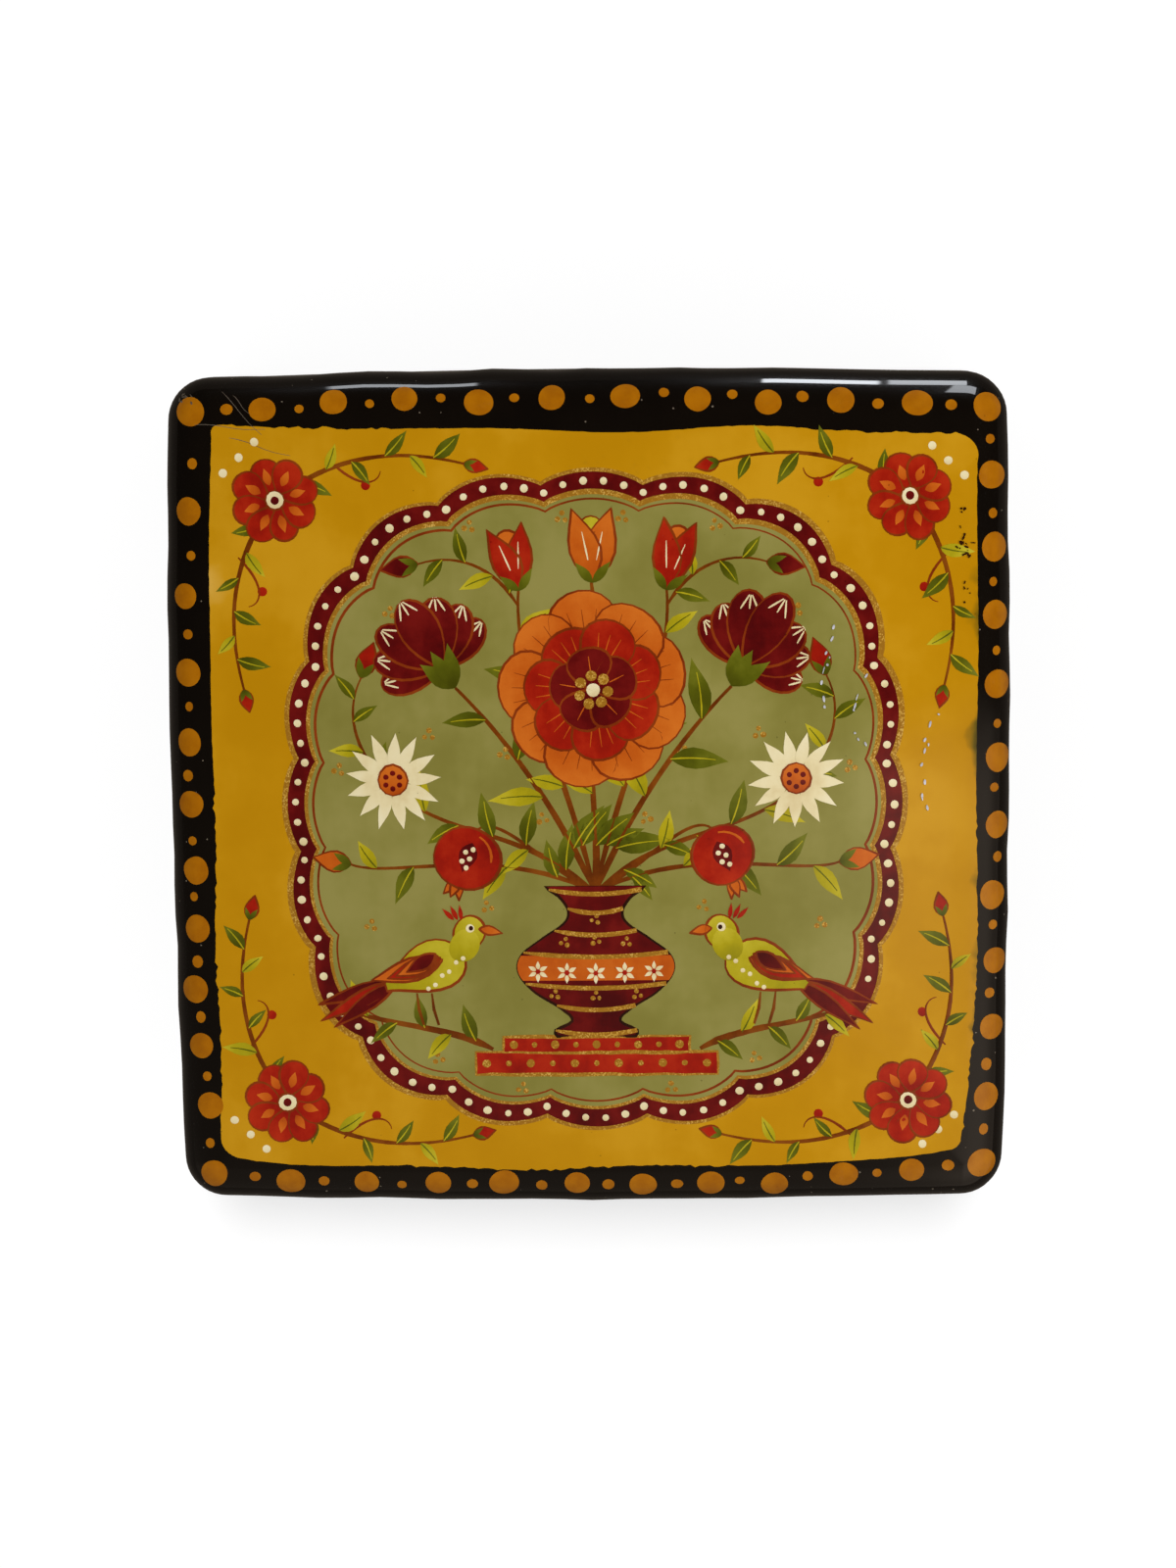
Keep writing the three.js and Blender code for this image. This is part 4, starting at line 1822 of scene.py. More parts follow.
    def medallion(self) -> None:
        """Lay the wine band, the sage ground inside it, and the gold and cream along the band."""
        easel = self.easel
        shares = [i / 22 for i in range(1, 23)]
        grounds = ((Pigment.WINE, 0.0, self.band_coat), (Pigment.SAGE, self.band, self.sage_coat))
        for pigment, inset, height in grounds:
            outline = self.lobed(inset)
            easel.layer(pigment).touch(outline, [0.5] * len(outline), height, shares)
        easel.ring(Pigment.GOLD, self.lobed(0.0), 0.5, self.band_line_coat)
        easel.ring(Pigment.GOLD, self.lobed(self.band), 0.46, self.sage_line_coat)
        easel.ring(Pigment.SIENNA, self.lobed(self.band + 0.75), 0.24, self.inner_line_coat)
        easel.height = self.pearl_coat
        middle = self.lobed(self.band / 2, 1200)
        run = 0.0
        for here, there in zip(middle, middle[1:], strict=False):
            run += (there - here).length
            if run > self.pearl_pitch:
                run = 0.0
                easel.dot(Pigment.CREAM, here, easel.hand.uniform(0.7, 0.9))

    def leaf(self, at: Vector, turn: float, length: float, pigment: Pigment, bend: float) -> None:
        """Lay one leaf with its midrib.

        Args:
            at: Where it grows.
            turn: Its direction.
            length: Its length.
            pigment: Its paint.
            bend: How far its tip swings to its right, as a share of its length.
        """
        easel = self.easel
        easel.dab(pigment, easel.leaf, at, turn, length, length * 0.4, bend=bend)
        way = pointing(turn)
        across = Vector((way.y, -way.x))
        rib = [at + way * length * s + across * bend * length * s * s for s in (0.0, 0.2, 0.4, 0.6, 0.8)]
        easel.stroke(Pigment.LIME if pigment is Pigment.OLIVE else Pigment.OLIVE, rib, 0.2, 0.6)

    def stem(self, path: Sequence[Vector], width: float, leaves: int, size: float) -> None:
        """Draw a stem and its leaves, turn about on both sides.

        Args:
            path: The stem's points.
            width: Its width at the start.
            leaves: How many leaves.
            size: The leaves' length.
        """
        easel = self.easel
        easel.height = self.stem_coat
        easel.stroke(Pigment.UMBER, path, width, 0.6)
        for k in range(leaves):
            number = round((k + 0.8) / (leaves + 0.6) * (len(path) - 2))
            way = path[number + 1] - path[number]
            side = 1 if k % 2 else -1
            turn = heading(way) + side * easel.hand.uniform(38, 58)
            easel.height = self.leaf_coat
            paint = Pigment.LIME if k % 3 == 1 else Pigment.OLIVE
            self.leaf(path[number], turn, size * easel.hand.uniform(0.8, 1.15), paint, -side * 0.16)

    def peony(self, at: Vector, size: float, turn: float, paints: tuple[Pigment, Pigment, Pigment]) -> None:
        """Lay a full flower in three rounds of petals.

        Args:
            at: Its middle.
            size: Its diameter.
            turn: The first petal's direction.
            paints: The paints of the outer, the middle and the inner round.
        """
        easel = self.easel
        easel.height = self.flower_coat
        rounds = ((9, 0.5, 0.1, 0.9), (7, 0.36, 0.05, 0.95), (5, 0.22, 0.0, 1.05))
        for number, (count, reach, start, plump) in enumerate(rounds):
            for k in range(count):
                angle = turn + 360 * (k + 0.5 * number) / count
                length = size * (reach - start)
                foot = at + pointing(angle) * size * start
                easel.dab(paints[number], easel.petal, foot, angle, length, length * plump, self.pen)
                for spread in (-14, 0, 14) if number < 2 else (0,):
                    way = pointing(angle + spread)
                    line = [foot + way * length * s for s in (0.42, 0.55, 0.68, 0.8)]
                    easel.height -= self.vein_dip
                    easel.stroke(Pigment.ORANGE if number else Pigment.SIENNA, line, 0.17, 0.7)
                    easel.height += self.vein_rise
        for k in range(7):
            easel.dot(Pigment.GOLD, at + pointing(turn + 360 * k / 7) * size * 0.075, 0.055 * size)
        easel.dot(Pigment.CREAM, at, 0.07 * size)

    def daisy(self, at: Vector, size: float, petals: int = 13) -> None:
        """Lay a flower of slender cream petals about an orange eye.

        Args:
            at: Its middle.
            size: Its diameter.
            petals: How many petals.
        """
        easel = self.easel
        easel.height = self.flower_coat
        start = easel.hand.uniform(0, 30)
        for k in range(petals):
            angle = start + 360 * k / petals
            foot = at + pointing(angle) * size * 0.1
            easel.dab(Pigment.CREAM, easel.leaf, foot, angle, size * 0.4, size * 0.13)
        easel.height += self.lift
        foot = at - Vector((0, 0.15 * size))
        easel.dab(Pigment.ORANGE, easel.small_round, foot, 0, 0.3 * size, 0.3 * size, self.fine_pen)
        for k in range(6):
            easel.dot(Pigment.WINE, at + pointing(60 * k) * size * 0.08, 0.055 * size)

    def carnation(self, at: Vector, size: float, turn: float, paint: Pigment) -> None:
        """Lay a fan of petals with pale notched tips on a green cup.

        Args:
            at: Where the cup stands on its stem.
            size: The flower's height.
            turn: Its direction.
            paint: The petals' paint.
        """
        easel = self.easel
        easel.height = self.flower_coat
        foot = at + pointing(turn) * size * 0.22
        for spread in (-72, 72, -50, 50, -26, 26, 0):
            length = size * (0.78 - 0.0025 * abs(spread))
            easel.dab(paint, easel.petal, foot, turn + spread, length, length * 0.52, self.pen)
            tip = foot + pointing(turn + spread) * length
            for notch in (-9, 0, 9):
                mark = foot + pointing(turn + spread + notch) * length * 0.78
                easel.height -= self.vein_dip
                easel.stroke(Pigment.CREAM, [mark.lerp(tip, s) for s in (0.0, 0.3, 0.6, 0.85)], 0.26, 0.5)
                easel.height += self.vein_rise
        for spread in (-24, 24, 0):
            easel.dab(Pigment.OLIVE, easel.leaf, at, turn + spread, size * 0.42, size * 0.17)

    def tulip(self, at: Vector, size: float, turn: float, outer: Pigment, inner: Pigment) -> None:
        """Lay a closed flower of three petals.

        Args:
            at: Where it stands on its stem.
            size: Its height.
            turn: Its direction.
            outer: The paint of the petals in front.
            inner: The paint of the petal behind.
        """
        easel = self.easel
        easel.height = self.flower_coat
        easel.dab(inner, easel.petal, at, turn, size * 0.95, size * 0.5, self.pen)
        for side in (-1, 1):
            easel.dab(outer, easel.leaf, at, turn + side * 9, size * 1.05, size * 0.46, self.pen, -side * 0.1)
            line = [at + pointing(turn + side * 12) * size * s for s in (0.3, 0.45, 0.6, 0.72)]
            easel.stroke(Pigment.CREAM, line, 0.24, 0.7)
        cup = at - pointing(turn) * 0.3
        for side in (-1, 1):
            easel.dab(Pigment.OLIVE, easel.leaf, cup, turn + side * 42, size * 0.4, size * 0.14)

    def pomegranate(self, at: Vector, size: float, turn: float) -> None:
        """Lay a ripe fruit with its crown, a split that shows its seeds, and a pale side.

        Args:
            at: Where it hangs from its stem.
            size: Its diameter.
            turn: The crown's direction.
        """
        easel = self.easel
        easel.height = self.flower_coat
        way = pointing(turn)
        crown = at + way * size * 0.86
        for spread in (-22, 22, 0):
            lean = turn + spread
            easel.dab(Pigment.ORANGE, easel.leaf, crown, lean, size * 0.36, size * 0.15, self.fine_pen)
        body = (self.full_pen, 0.0, self.full_shares)
        easel.dab(Pigment.RED, easel.round, at, turn, size, size * 1.04, *body)
        across = Vector((way.y, -way.x))
        split = at + way * size * 0.24
        easel.dab(Pigment.WINE, easel.leaf, split, turn, size * 0.52, size * 0.3)
        for k in range(5):
            seed = split + way * size * (0.1 + 0.08 * k) + across * size * 0.05 * (1 if k % 2 else -1)
            easel.dot(Pigment.CREAM, seed, 0.085 * size)
        arc = [at + way * size / 2 + pointing(turn + 100 + 14 * k) * size * 0.4 for k in range(6)]
        easel.stroke(Pigment.ORANGE, arc, 0.34, 0.5)

    def rosette(self, at: Vector, size: float, petals: int, paints: tuple[Pigment, Pigment]) -> None:
        """Lay a flat flower of round petals with a ringed eye.

        Args:
            at: Its middle.
            size: Its diameter.
            petals: How many petals.
            paints: The paints of the petals and of the touch on each.
        """
        easel = self.easel
        easel.height = self.flower_coat
        start = easel.hand.uniform(0, 40)
        for k in range(petals):
            angle = start + 360 * k / petals
            foot = at + pointing(angle) * size * 0.08
            easel.dab(paints[0], easel.petal, foot, angle, size * 0.42, size * 0.34, self.fine_pen)
            easel.height -= self.vein_dip
            touch = foot + pointing(angle) * size * 0.1
            easel.dab(paints[1], easel.leaf, touch, angle, size * 0.2, size * 0.1)
            easel.height -= self.touch_dip
        easel.height += self.lift
        foot = at - Vector((0, 0.11 * size))
        easel.dab(Pigment.CREAM, easel.small_round, foot, 0, 0.22 * size, 0.22 * size, self.fine_pen)
        easel.dot(Pigment.WINE, at, 0.1 * size)

    def bud(self, at: Vector, size: float, turn: float, paint: Pigment) -> None:
        """Lay a small bud on a green cup.

        Args:
            at: Where it stands on its stem.
            size: Its length.
            turn: Its direction.
            paint: Its paint.
        """
        easel = self.easel
        easel.height = self.bud_coat
        easel.dab(paint, easel.leaf, at, turn, size, size * 0.55, 0.18)
        for side in (-1, 1):
            easel.dab(Pigment.OLIVE, easel.leaf, at, turn + side * 26, size * 0.55, size * 0.2)

    def spandrels(self) -> None:
        """Fill the four ochre corners: a rosette, two leafy vines along the edges and some buds."""
        easel = self.easel

        def spots(ways: Sequence[Place], middle: Vector, out: Vector, aside: Vector) -> list[Vector]:
            """Places back from a corner's flower along one edge and towards the other."""
            return [self.place(*(middle - out * back + aside * over)) for back, over in ways]

        for right in (-1, 1):
            for up in (-1, 1):
                middle = Vector((self.corner_flower[0] * right, self.corner_flower[1] * up))
                level, upright = Vector((right, 0)), Vector((0, up))
                for edges in ((level, upright), (upright, level)):
                    path = bezier(*spots(self.vine, middle, *edges))
                    self.stem(path, 0.6, 6, 3.3)
                    self.bud(path[-1], 2.6, heading(path[-1] - path[-3]), Pigment.RED)
                    easel.height = self.stem_coat
                    easel.stroke(Pigment.SIENNA, bezier(*spots(self.tendril, middle, *edges), 14), 0.34)
                    easel.dot(Pigment.RED, *spots([(9.6, 1.5)], middle, *edges), 1.0)
                self.rosette(self.place(*middle), 9.2, 8, (Pigment.RED, Pigment.ORANGE))
                easel.height = self.gold_coat
                for k in range(3):
                    pearl = middle + Vector((right * (2.3 + 1.7 * k), up * (5.7 - 1.6 * k)))
                    easel.dot(Pigment.CREAM, self.pulled(self.place(*pearl)), 0.9)

    def bouquet(self) -> None:
        """Draw the stems from the vase's mouth and lay the flowers at their ends."""
        mouth = (0, -9.5)
        twigs = (
            ((21.4, 1.6), (25.5, 5.5), (26.5, 10), (24.6, 13.6)),
            ((7.8, 21), (10, 25), (14, 27), (18.4, 25.6)),
        )

        def curve(points: Sequence[Place], side: int, count: int = 24) -> list[Vector]:
            """A curve over the panel, mirrored to a side."""
            return bezier(*[self.place(*Vector((x * side, y))) for x, y in points], count)

        for side in (-1, 1):
            self.stem(curve((mouth, (4, 0), (10, 8), (14.6, 12.5)), side), 0.8, 4, 5.4)
            self.stem(curve((mouth, (8, -2), (15, -4), (21.4, 1.6)), side), 0.7, 5, 4.6)
            self.stem(curve((mouth, (6, -6), (10, -1), (12.4, -2.6)), side), 0.6, 1, 4.4)
            self.stem(curve((mouth, (3, 4), (8.6, 14), (7.8, 23.0)), side), 0.7, 5, 5.0)
            self.stem(curve((mouth, (10, -4), (22, -8), (26.0, -6.4)), side), 0.6, 5, 4.2)
            for twig in twigs:
                self.stem(curve(twig, side, 16), 0.45, 4, 3.6)
        self.stem(curve((mouth, (0.6, -4), (-0.6, 2), (0.0, 6)), 1), 0.9, 2, 5.4)
        self.stem(curve(((0, 20), (0.5, 22), (-0.4, 23), (0, 24.4)), 1, 8), 0.6, 0, 3)
        for side in (-1, 1):
            self.pomegranate(self.place(12.4 * side, -2.6), 6.6, 180 + 22 * side)
            self.bud(self.place(26 * side, -6.4), 4.2, -80 * side, Pigment.ORANGE)
            self.bud(self.place(24.6 * side, 13.6), 4.0, 20 * side, Pigment.RED)
            self.bud(self.place(18.4 * side, 25.6), 4.0, -100 * side, Pigment.WINE)
            self.daisy(self.place(21.4 * side, 2.6), 10.5)
            self.carnation(self.place(14.6 * side, 12.5), 11.0, -32 * side, Pigment.WINE)
            self.tulip(self.place(7.8 * side, 23.0), 6.8, -12 * side, Pigment.RED, Pigment.ORANGE)
        self.tulip(self.place(0, 23.8), 7.2, 0, Pigment.ORANGE, Pigment.LIME)
        self.peony(self.place(0, 12.2), 20.5, 8, (Pigment.ORANGE, Pigment.RED, Pigment.WINE))

    def stand(self) -> None:
        """Lay the two red steps of the vase's stand with their gold."""
        easel, hand = self.easel, self.easel.hand
        easel.height = self.vase_coat
        for low, high, wide in ((-29.4, -26.9, 13.0), (-27.0, -25.2, 10.0)):
            middle = (low + high) / 2
            rows: list[list[Vector]] = []
            for y in (low, middle, high):
                ways = [wide * (2 * c / 14 - 1) for c in range(15)]
                rows.append([self.place(x + hand.gauss(0, 0.03), y + hand.gauss(0, 0.04)) for x in ways])
            easel.layer(Pigment.RED).weave(rows, (0.2, 0.5, 0.8), easel.height)
            edge = [*rows[0], rows[1][-1], *reversed(rows[2]), rows[1][0]]
            easel.ring(Pigment.GOLD, edge, 0.34, easel.height + 0.002)
            easel.height += self.body_lift
            count = int(wide / 1.1)
            for k in range(count):
                at = self.place(wide * (2 * (k + 0.5) / count - 1), middle)
                easel.dot(Pigment.GOLD, at, 0.62 if k % 2 else 0.9)

    def vase(self) -> None:
        """Lay the wine vase with its orange belt, its gold lines and its small flowers."""
        easel = self.easel
        foot, tall = self.vase_foot, self.vase_tall
        lower = ((0, 4.2), (0.04, 4.4), (0.1, 2.6), (0.17, 3.4), (0.3, 6.6), (0.43, 8.3))
        upper = ((0.55, 7.9), (0.67, 5.4), (0.76, 3.3), (0.84, 2.9), (0.93, 3.8), (1.0, 5.3))
        shape = self.vase_rows(lower + upper)
        rows, shares = zip(*shape, strict=True)
        easel.layer(Pigment.WINE).weave(rows, shares, easel.height)
        edge = [row[-1] for row in rows] + [row[0] for row in reversed(rows)]
        easel.ring(Pigment.INK, edge, self.full_pen, easel.height + easel.outline_lift)
        easel.height += self.body_lift
        belt = [row for row, share in shape if 0.36 <= share <= 0.56]
        easel.layer(Pigment.ORANGE).weave(belt, [0.5] * len(belt), easel.height)
        easel.height += self.lift
        for level in (0.045, 0.2, 0.36, 0.56, 0.7, 0.86, 0.985):
            row = min(shape, key=lambda entry: abs(entry[1] - level))[0]
            last = len(row) - 1
            sag = [p - Vector((0, 0.5 * (1 - (2 * c / last - 1) ** 2))) for c, p in enumerate(row)]
            easel.stroke(Pigment.GOLD, sag, 0.5, 0.0)
        middle = foot + tall * 0.445
        for k in range(-2, 3):
            at = self.place(3.1 * k, middle - 0.35 * (1 - (k / 2.6) ** 2))
            for spread in range(0, 360, 60):
                easel.dab(Pigment.CREAM, easel.leaf, at + pointing(spread) * 0.2, spread, 0.95, 0.45)
                easel.height -= easel.step
            easel.height += self.lift
            easel.dot(Pigment.RED, at, 0.55)
            easel.height -= self.lift
        below = ((-4.4, 0.28), (0, 0.27), (4.4, 0.28))
        above = ((-3.3, 0.63), (0, 0.64), (3.3, 0.63), (0, 0.78))
        for x, share in below + above:
            easel.trio(Pigment.GOLD, self.place(x, foot + tall * share), 0.5)

    def vase_rows(self, knots: Pairs) -> list[tuple[list[Vector], float]]:
        """Rows across the turned shape of the vase.

        Args:
            knots: Heights, as shares, and half-widths along its side.

        Returns:
            Each row's points from left to right and its share of the height.
        """
        rows = []
        for i in range(49):
            share = i / 48
            number = max(k for k in range(len(knots) - 1) if knots[k][0] <= share)
            (low, start), (high, end) = knots[number], knots[number + 1]
            t = (share - low) / (high - low)
            before = knots[max(number - 1, 0)][1]
            after = knots[min(number + 2, len(knots) - 1)][1]
            first, second = (end - before) / 2, (after - start) / 2
            half = (2 * t**3 - 3 * t**2 + 1) * start + (t**3 - 2 * t**2 + t) * first
            half += (3 * t**2 - 2 * t**3) * end + (t**3 - t**2) * second
            up = self.vase_foot + self.vase_tall * share
            rows.append(([self.place(half * (2 * c / 12 - 1), up) for c in range(13)], share))
        return rows

    def bird(self, side: int) -> None:
        """Lay a bird that looks towards the vase.

        Args:
            side: -1 for the left one and 1 for the right one.
        """
        easel = self.easel

        def spot(x: float, y: float) -> Vector:
            """A place about the bird, mirrored to its side."""
            return self.place(side * (self.bird_at[0] + x), self.bird_at[1] + y)

        self.stem(bezier(spot(-7.5, -9.0), spot(-3, -6.4), spot(3, -6.6), spot(9, -4.4)), 0.9, 5, 4.0)
        easel.height = self.bird_coat
        tail = ((Pigment.WINE, -104, 9.0), (Pigment.RED, -114, 9.6), (Pigment.WINE, -123, 8.6))
        for paint, lean, length in tail:
            easel.dab(paint, easel.leaf, spot(2.6, -1.6), side * lean, length, 1.7, self.pen, side * 0.06)
        for x in (-1.0, 0.6):
            easel.stroke(Pigment.UMBER, [spot(x, -2.8), spot(x - 0.2, -4.6), spot(x - 0.7, -6.3)], 0.4, 0.3)
        body = (self.full_pen, -side * 0.06, self.full_shares)
        easel.dab(Pigment.LIME, easel.breast, spot(4.0, -2.2), side * 62, 9.6, 5.4, *body)
        easel.dab(Pigment.LIME, easel.round, spot(-4.2, 2.2), side * 30, 3.6, 3.4, 0.24)
        bill = (self.fine_pen, -side * 0.1)
        easel.dab(Pigment.ORANGE, easel.leaf, spot(-6.2, 4.2), side * 96, 2.4, 1.0, *bill)
        easel.dab(Pigment.LIME, easel.round, spot(-3.6, 0.8), side * 30, 3.6, 3.2)
        for k in range(6):
            easel.dot(Pigment.CREAM, spot(-4.4 + 0.75 * k, 1.0 - 0.72 * k + 0.3 * (k % 2)), 0.5)
        feathers = ((Pigment.ORANGE, 7.6), (Pigment.RED, 6.4), (Pigment.ORANGE, 5.0), (Pigment.WINE, 3.6))
        for k, (paint, length) in enumerate(feathers):
            root, lean = spot(-2.2 + 0.25 * k, 0.9 + 0.2 * k), side * (-112 - 5 * k)
            easel.dab(paint, easel.leaf, root, lean, length, 2.5 - 0.3 * k, self.pen, -side * 0.08)
        easel.dot(Pigment.CREAM, spot(-5.2, 4.3), 0.95)
        easel.height += self.lift
        easel.dot(Pigment.INK, spot(-5.3, 4.3), 0.5)
        for k in range(3):
            easel.dab(Pigment.RED, easel.leaf, spot(-4.3 + 0.4 * k, 5.2), side * (-8 - 18 * k), 1.7, 0.5)

    def scattered_gold(self) -> None:
        """Set gold threes in the empty places of the sage ground."""
        self.easel.height = self.gold_coat
        low = ((5.5, -1.5), (17.5, 7.5), (9.5, 5.5), (24.0, -13.0), (11.5, -11.0))
        high = ((3.2, 30.4), (13.0, 29.5), (27.2, 3.8), (21.5, 20.5), (8.0, -30.9), (17.0, -27.6))
        for x, y in low + high:
            for side in (-1, 1):
                self.easel.trio(Pigment.GOLD, self.place(x * side, y), 0.6)


@dataclass
class Wear:
    """Marks of use: hairlines and a rubbed spot by one corner, chips by the panel's right edge, and cracks in
    the lacquer near it painted as bright glints.
    """

    easel: Easel
    scuff_coat: float = 0.034
    chip_coat: float = 0.2
    rubbed: Pair = (-42.2, 42.4)
    rubs: int = 9
    crack_glint_share: float = 0.62
    hairlines: tuple[tuple[float, ...], ...] = (
        (-38.2, 43.0, -34.0, 38.4),
        (-37.0, 42.6, -35.2, 40.6),
        (-41.0, 39.6, -33.6, 39.0),
        (-37.4, 38.2, -31.0, 36.2),
    )
    chips: tuple[tuple[float, float, float, int], ...] = (
        (39.7, 26.4, 0.7, 16),
        (39.6, 30.0, 0.4, 5),
        (39.9, 21.6, 0.5, 6),
    )
    glint_cracks: tuple[Pairs, ...] = (
        ((26.3, 17.7), (25.0, 14.4), (24.2, 11.6), (25.5, 8.4)),
        ((30.8, 15.2), (28.0, 11.0), (27.0, 7.6), (30.2, 3.6)),
        ((37.0, 8.6), (35.8, 5.6), (34.8, 1.6), (35.8, -2.0)),
    )

    def paint(self) -> None:
        """Lay the marks."""
        easel, hand = self.easel, self.easel.hand
        easel.height = self.scuff_coat
        for line in self.hairlines:
            start, end = Vector(line[:2]), Vector(line[2:])
            path = [start.lerp(end, i / 7) + Vector((0, 0.12 * math.sin(i))) for i in range(8)]
            easel.stroke(Pigment.SCUFF, path, 0.07, 0.5)
        for _ in range(self.rubs):
            at = Vector((self.rubbed[0] + hand.gauss(0, 0.5), self.rubbed[1] + hand.gauss(0, 0.4)))
            sizes = [hand.uniform(*ends) for ends in ((0, 360), (0.15, 0.5), (0.1, 0.25))]
            easel.speck(Pigment.SCUFF, at, *sizes)
        easel.height = self.chip_coat
        for x, y, spread, count in self.chips:
            for _ in range(count):
                at = Vector((x + hand.gauss(0, spread * 0.6), y + hand.gauss(0, spread)))
                sizes = [hand.uniform(*ends) for ends in ((0, 360), (0.1, 0.55), (0.08, 0.3))]
                easel.speck(Pigment.INK, at, *sizes)
        # Rows of pale flecks along cracks in the lacquer: painted glints where the cracks catch the light.
        for crack in self.glint_cracks:
            path = bezier(*(Vector(p) for p in crack), count=14)
            for at, onward in zip(path, path[1:], strict=False):
                if hand.random() < self.crack_glint_share:
                    spot = at + Vector((hand.gauss(0, 0.2), hand.gauss(0, 0.25)))
                    turn = heading(onward - at) + hand.gauss(0, 9)
                    easel.speck(Pigment.CRACK_GLINT, spot, turn, hand.uniform(0.15, 0.8), hand.uniform(0.1, 0.27))


@dataclass
class Studio:
    """Floor, world, lamps and camera."""

    floor_size: float = 12
    floor_grey: float = 0.8
    floor_glow: float = 0.395
    floor_in_lacquer: float = 0.085
    sky: float = 0.08
    dim_sky: float = 0.03
    front_sky: float = 0.14
    front_edge: Pair = (-0.05, -0.45)
    window: float = 0.6
    window_foot: Pair = (-0.1, -0.14)
    window_side: Pair = (0.04, 0.16)
    haze: Pair = (0.15, 0.8)
    haze_least: float = 0.35
    white: Colour = (1.0, 1.0, 1.0, 1.0)
    warm: Colour = (1.0, 0.83, 0.67, 1.0)
    lid_middle: Vector = field(default_factory=lambda: Vector((0, 0, 38 * MM)))
    fills: dict[str, Place] = field(
        default_factory=lambda: {
            "left_fill": (-0.8, 0.15, 1.0),
            "right_fill": (0.8, 0.1, 1.0),
            "front_fill": (0.0, -0.9, 0.8),
        }
    )
    fill: float = 0.15
    fill_angle: float = math.radians(60)
    card_colour: tuple[float, float, float] = (0.9, 0.94, 1.0)
    edge_card_soft: float = 0.1
    wall_card: float = 0.6
    wall_card_soft: float = 0.8
    wall_card_way: float = 125 * MM
    wall_card_size: Pair = (230 * MM, 110 * MM)
    tilt: float = math.radians(8.0)
    swing: float = math.radians(1.284)
    roll: float = math.radians(0.532)
    distance_mm: float = 365.6
    lid_top: float = 41.45 * MM
    aim_up: float = 1.4 * MM
    focal_pixels: float = 3517.5
    frame_pixels: int = 1600
    sensor: float = 36

    def floor(self) -> Piece:
        """Lay a floor that is white to the camera, dim in the lacquer, and keeps the box's shadow.

        Returns:
            The floor.
        """
        deselect_all()
        bpy.ops.mesh.primitive_plane_add(size=self.floor_size, location=(0, 0, 0))
        plane = bpy.context.object
        plane.name = "floor"
        material, sheet = new_material("pale_floor")
        path = sheet.add("LightPath")
        glossy = path.outputs["Is Glossy Ray"]
        grey = sheet.math("MULTIPLY_ADD", glossy, -self.floor_grey, self.floor_grey)
        diffuse = sheet.add("BsdfDiffuse", {"Color": grey})
        mirrored = sheet.math("MULTIPLY", glossy, self.floor_in_lacquer)
        seen = sheet.math("MULTIPLY_ADD", path.outputs["Is Camera Ray"], self.floor_glow, mirrored)
        glow = sheet.add("Emission", {"Color": sheet.mix(glossy, self.white, self.warm), "Strength": seen})
        both = sheet.add("AddShader", {0: diffuse.outputs[0], 1: glow.outputs[0]})
        sheet.add("OutputMaterial", {"Surface": both.outputs[0]})
        plane.data.materials.append(material)
        return plane

    def world(self) -> None:
        """Light the room: white to the camera, and in the lacquer dim, with a window low on the right."""
        world = bpy.data.worlds.new("room")
        bpy.context.scene.world = world
        world.use_nodes = True
        sheet = NodeSheet(world.node_tree)
        path = sheet.add("LightPath")
        x, y, z = sheet.add("SeparateXYZ", {0: sheet.add("TexCoord").outputs["Generated"]}).outputs
        front = sheet.math("MULTIPLY_ADD", sheet.between(y, *self.front_edge), self.front_sky, self.dim_sky)
        foot, side = sheet.between(y, *self.window_foot), sheet.between(x, *self.window_side)
        pane = sheet.math("MULTIPLY", foot, side)
        rise = sheet.between(z, *self.haze)
        haze = sheet.math("MULTIPLY_ADD", rise, 1 - self.haze_least, self.haze_least)
        mirrored = sheet.math("MULTIPLY_ADD", sheet.math("MULTIPLY", pane, haze), self.window, front)
        glossy = path.outputs["Is Glossy Ray"]
        dim = sheet.add("Mix", {0: glossy, 2: self.sky, 3: mirrored}).outputs[0]
        strength = sheet.math("MAXIMUM", path.outputs["Is Camera Ray"], dim)
        tint = sheet.mix(glossy, self.white, self.warm)
        sky = sheet.add("Background", {"Color": tint, "Strength": strength})
        sheet.add("OutputWorld", {"Surface": sky.outputs[0]})

    def hang(self, lamp: bpy.types.Light, at: Place, away: Place, mirrored: bool) -> Piece:
        """Hang a lamp.

        Args:
            lamp: The lamp.
            at: Its place.
            away: The direction that it turns its back to.
            mirrored: True for one that is only seen in the gloss, False for one that only lights.

        Returns:
            The hung lamp.
        """
        hung = bpy.data.objects.new(lamp.name, lamp)
        hung.location = at
        hung.rotation_euler = Vector(away).to_track_quat("Z", "Y").to_euler()
        hung.visible_camera = False
        hung.visible_glossy = mirrored
        hung.visible_diffuse = not mirrored
        bpy.context.scene.collection.objects.link(hung)
        return hung

    def disc(self, name: str, at: Place, size: Pair, radiance: float) -> Piece:
        """Hang a round or an oval lamp that lights the lid.

        Args:
            name: The lamp's name.
            at: Its place.
            size: Its width and height.
            radiance: How bright its face is.

        Returns:
            The hung lamp.
        """
        lamp = bpy.data.lights.new(name, "AREA")
        lamp.shape = "ELLIPSE"
        lamp.size, lamp.size_y = size
        lamp.energy = radiance * math.pi**2 / 4 * size[0] * size[1]
        return self.hang(lamp, at, Vector(at) - self.lid_middle, mirrored=False)

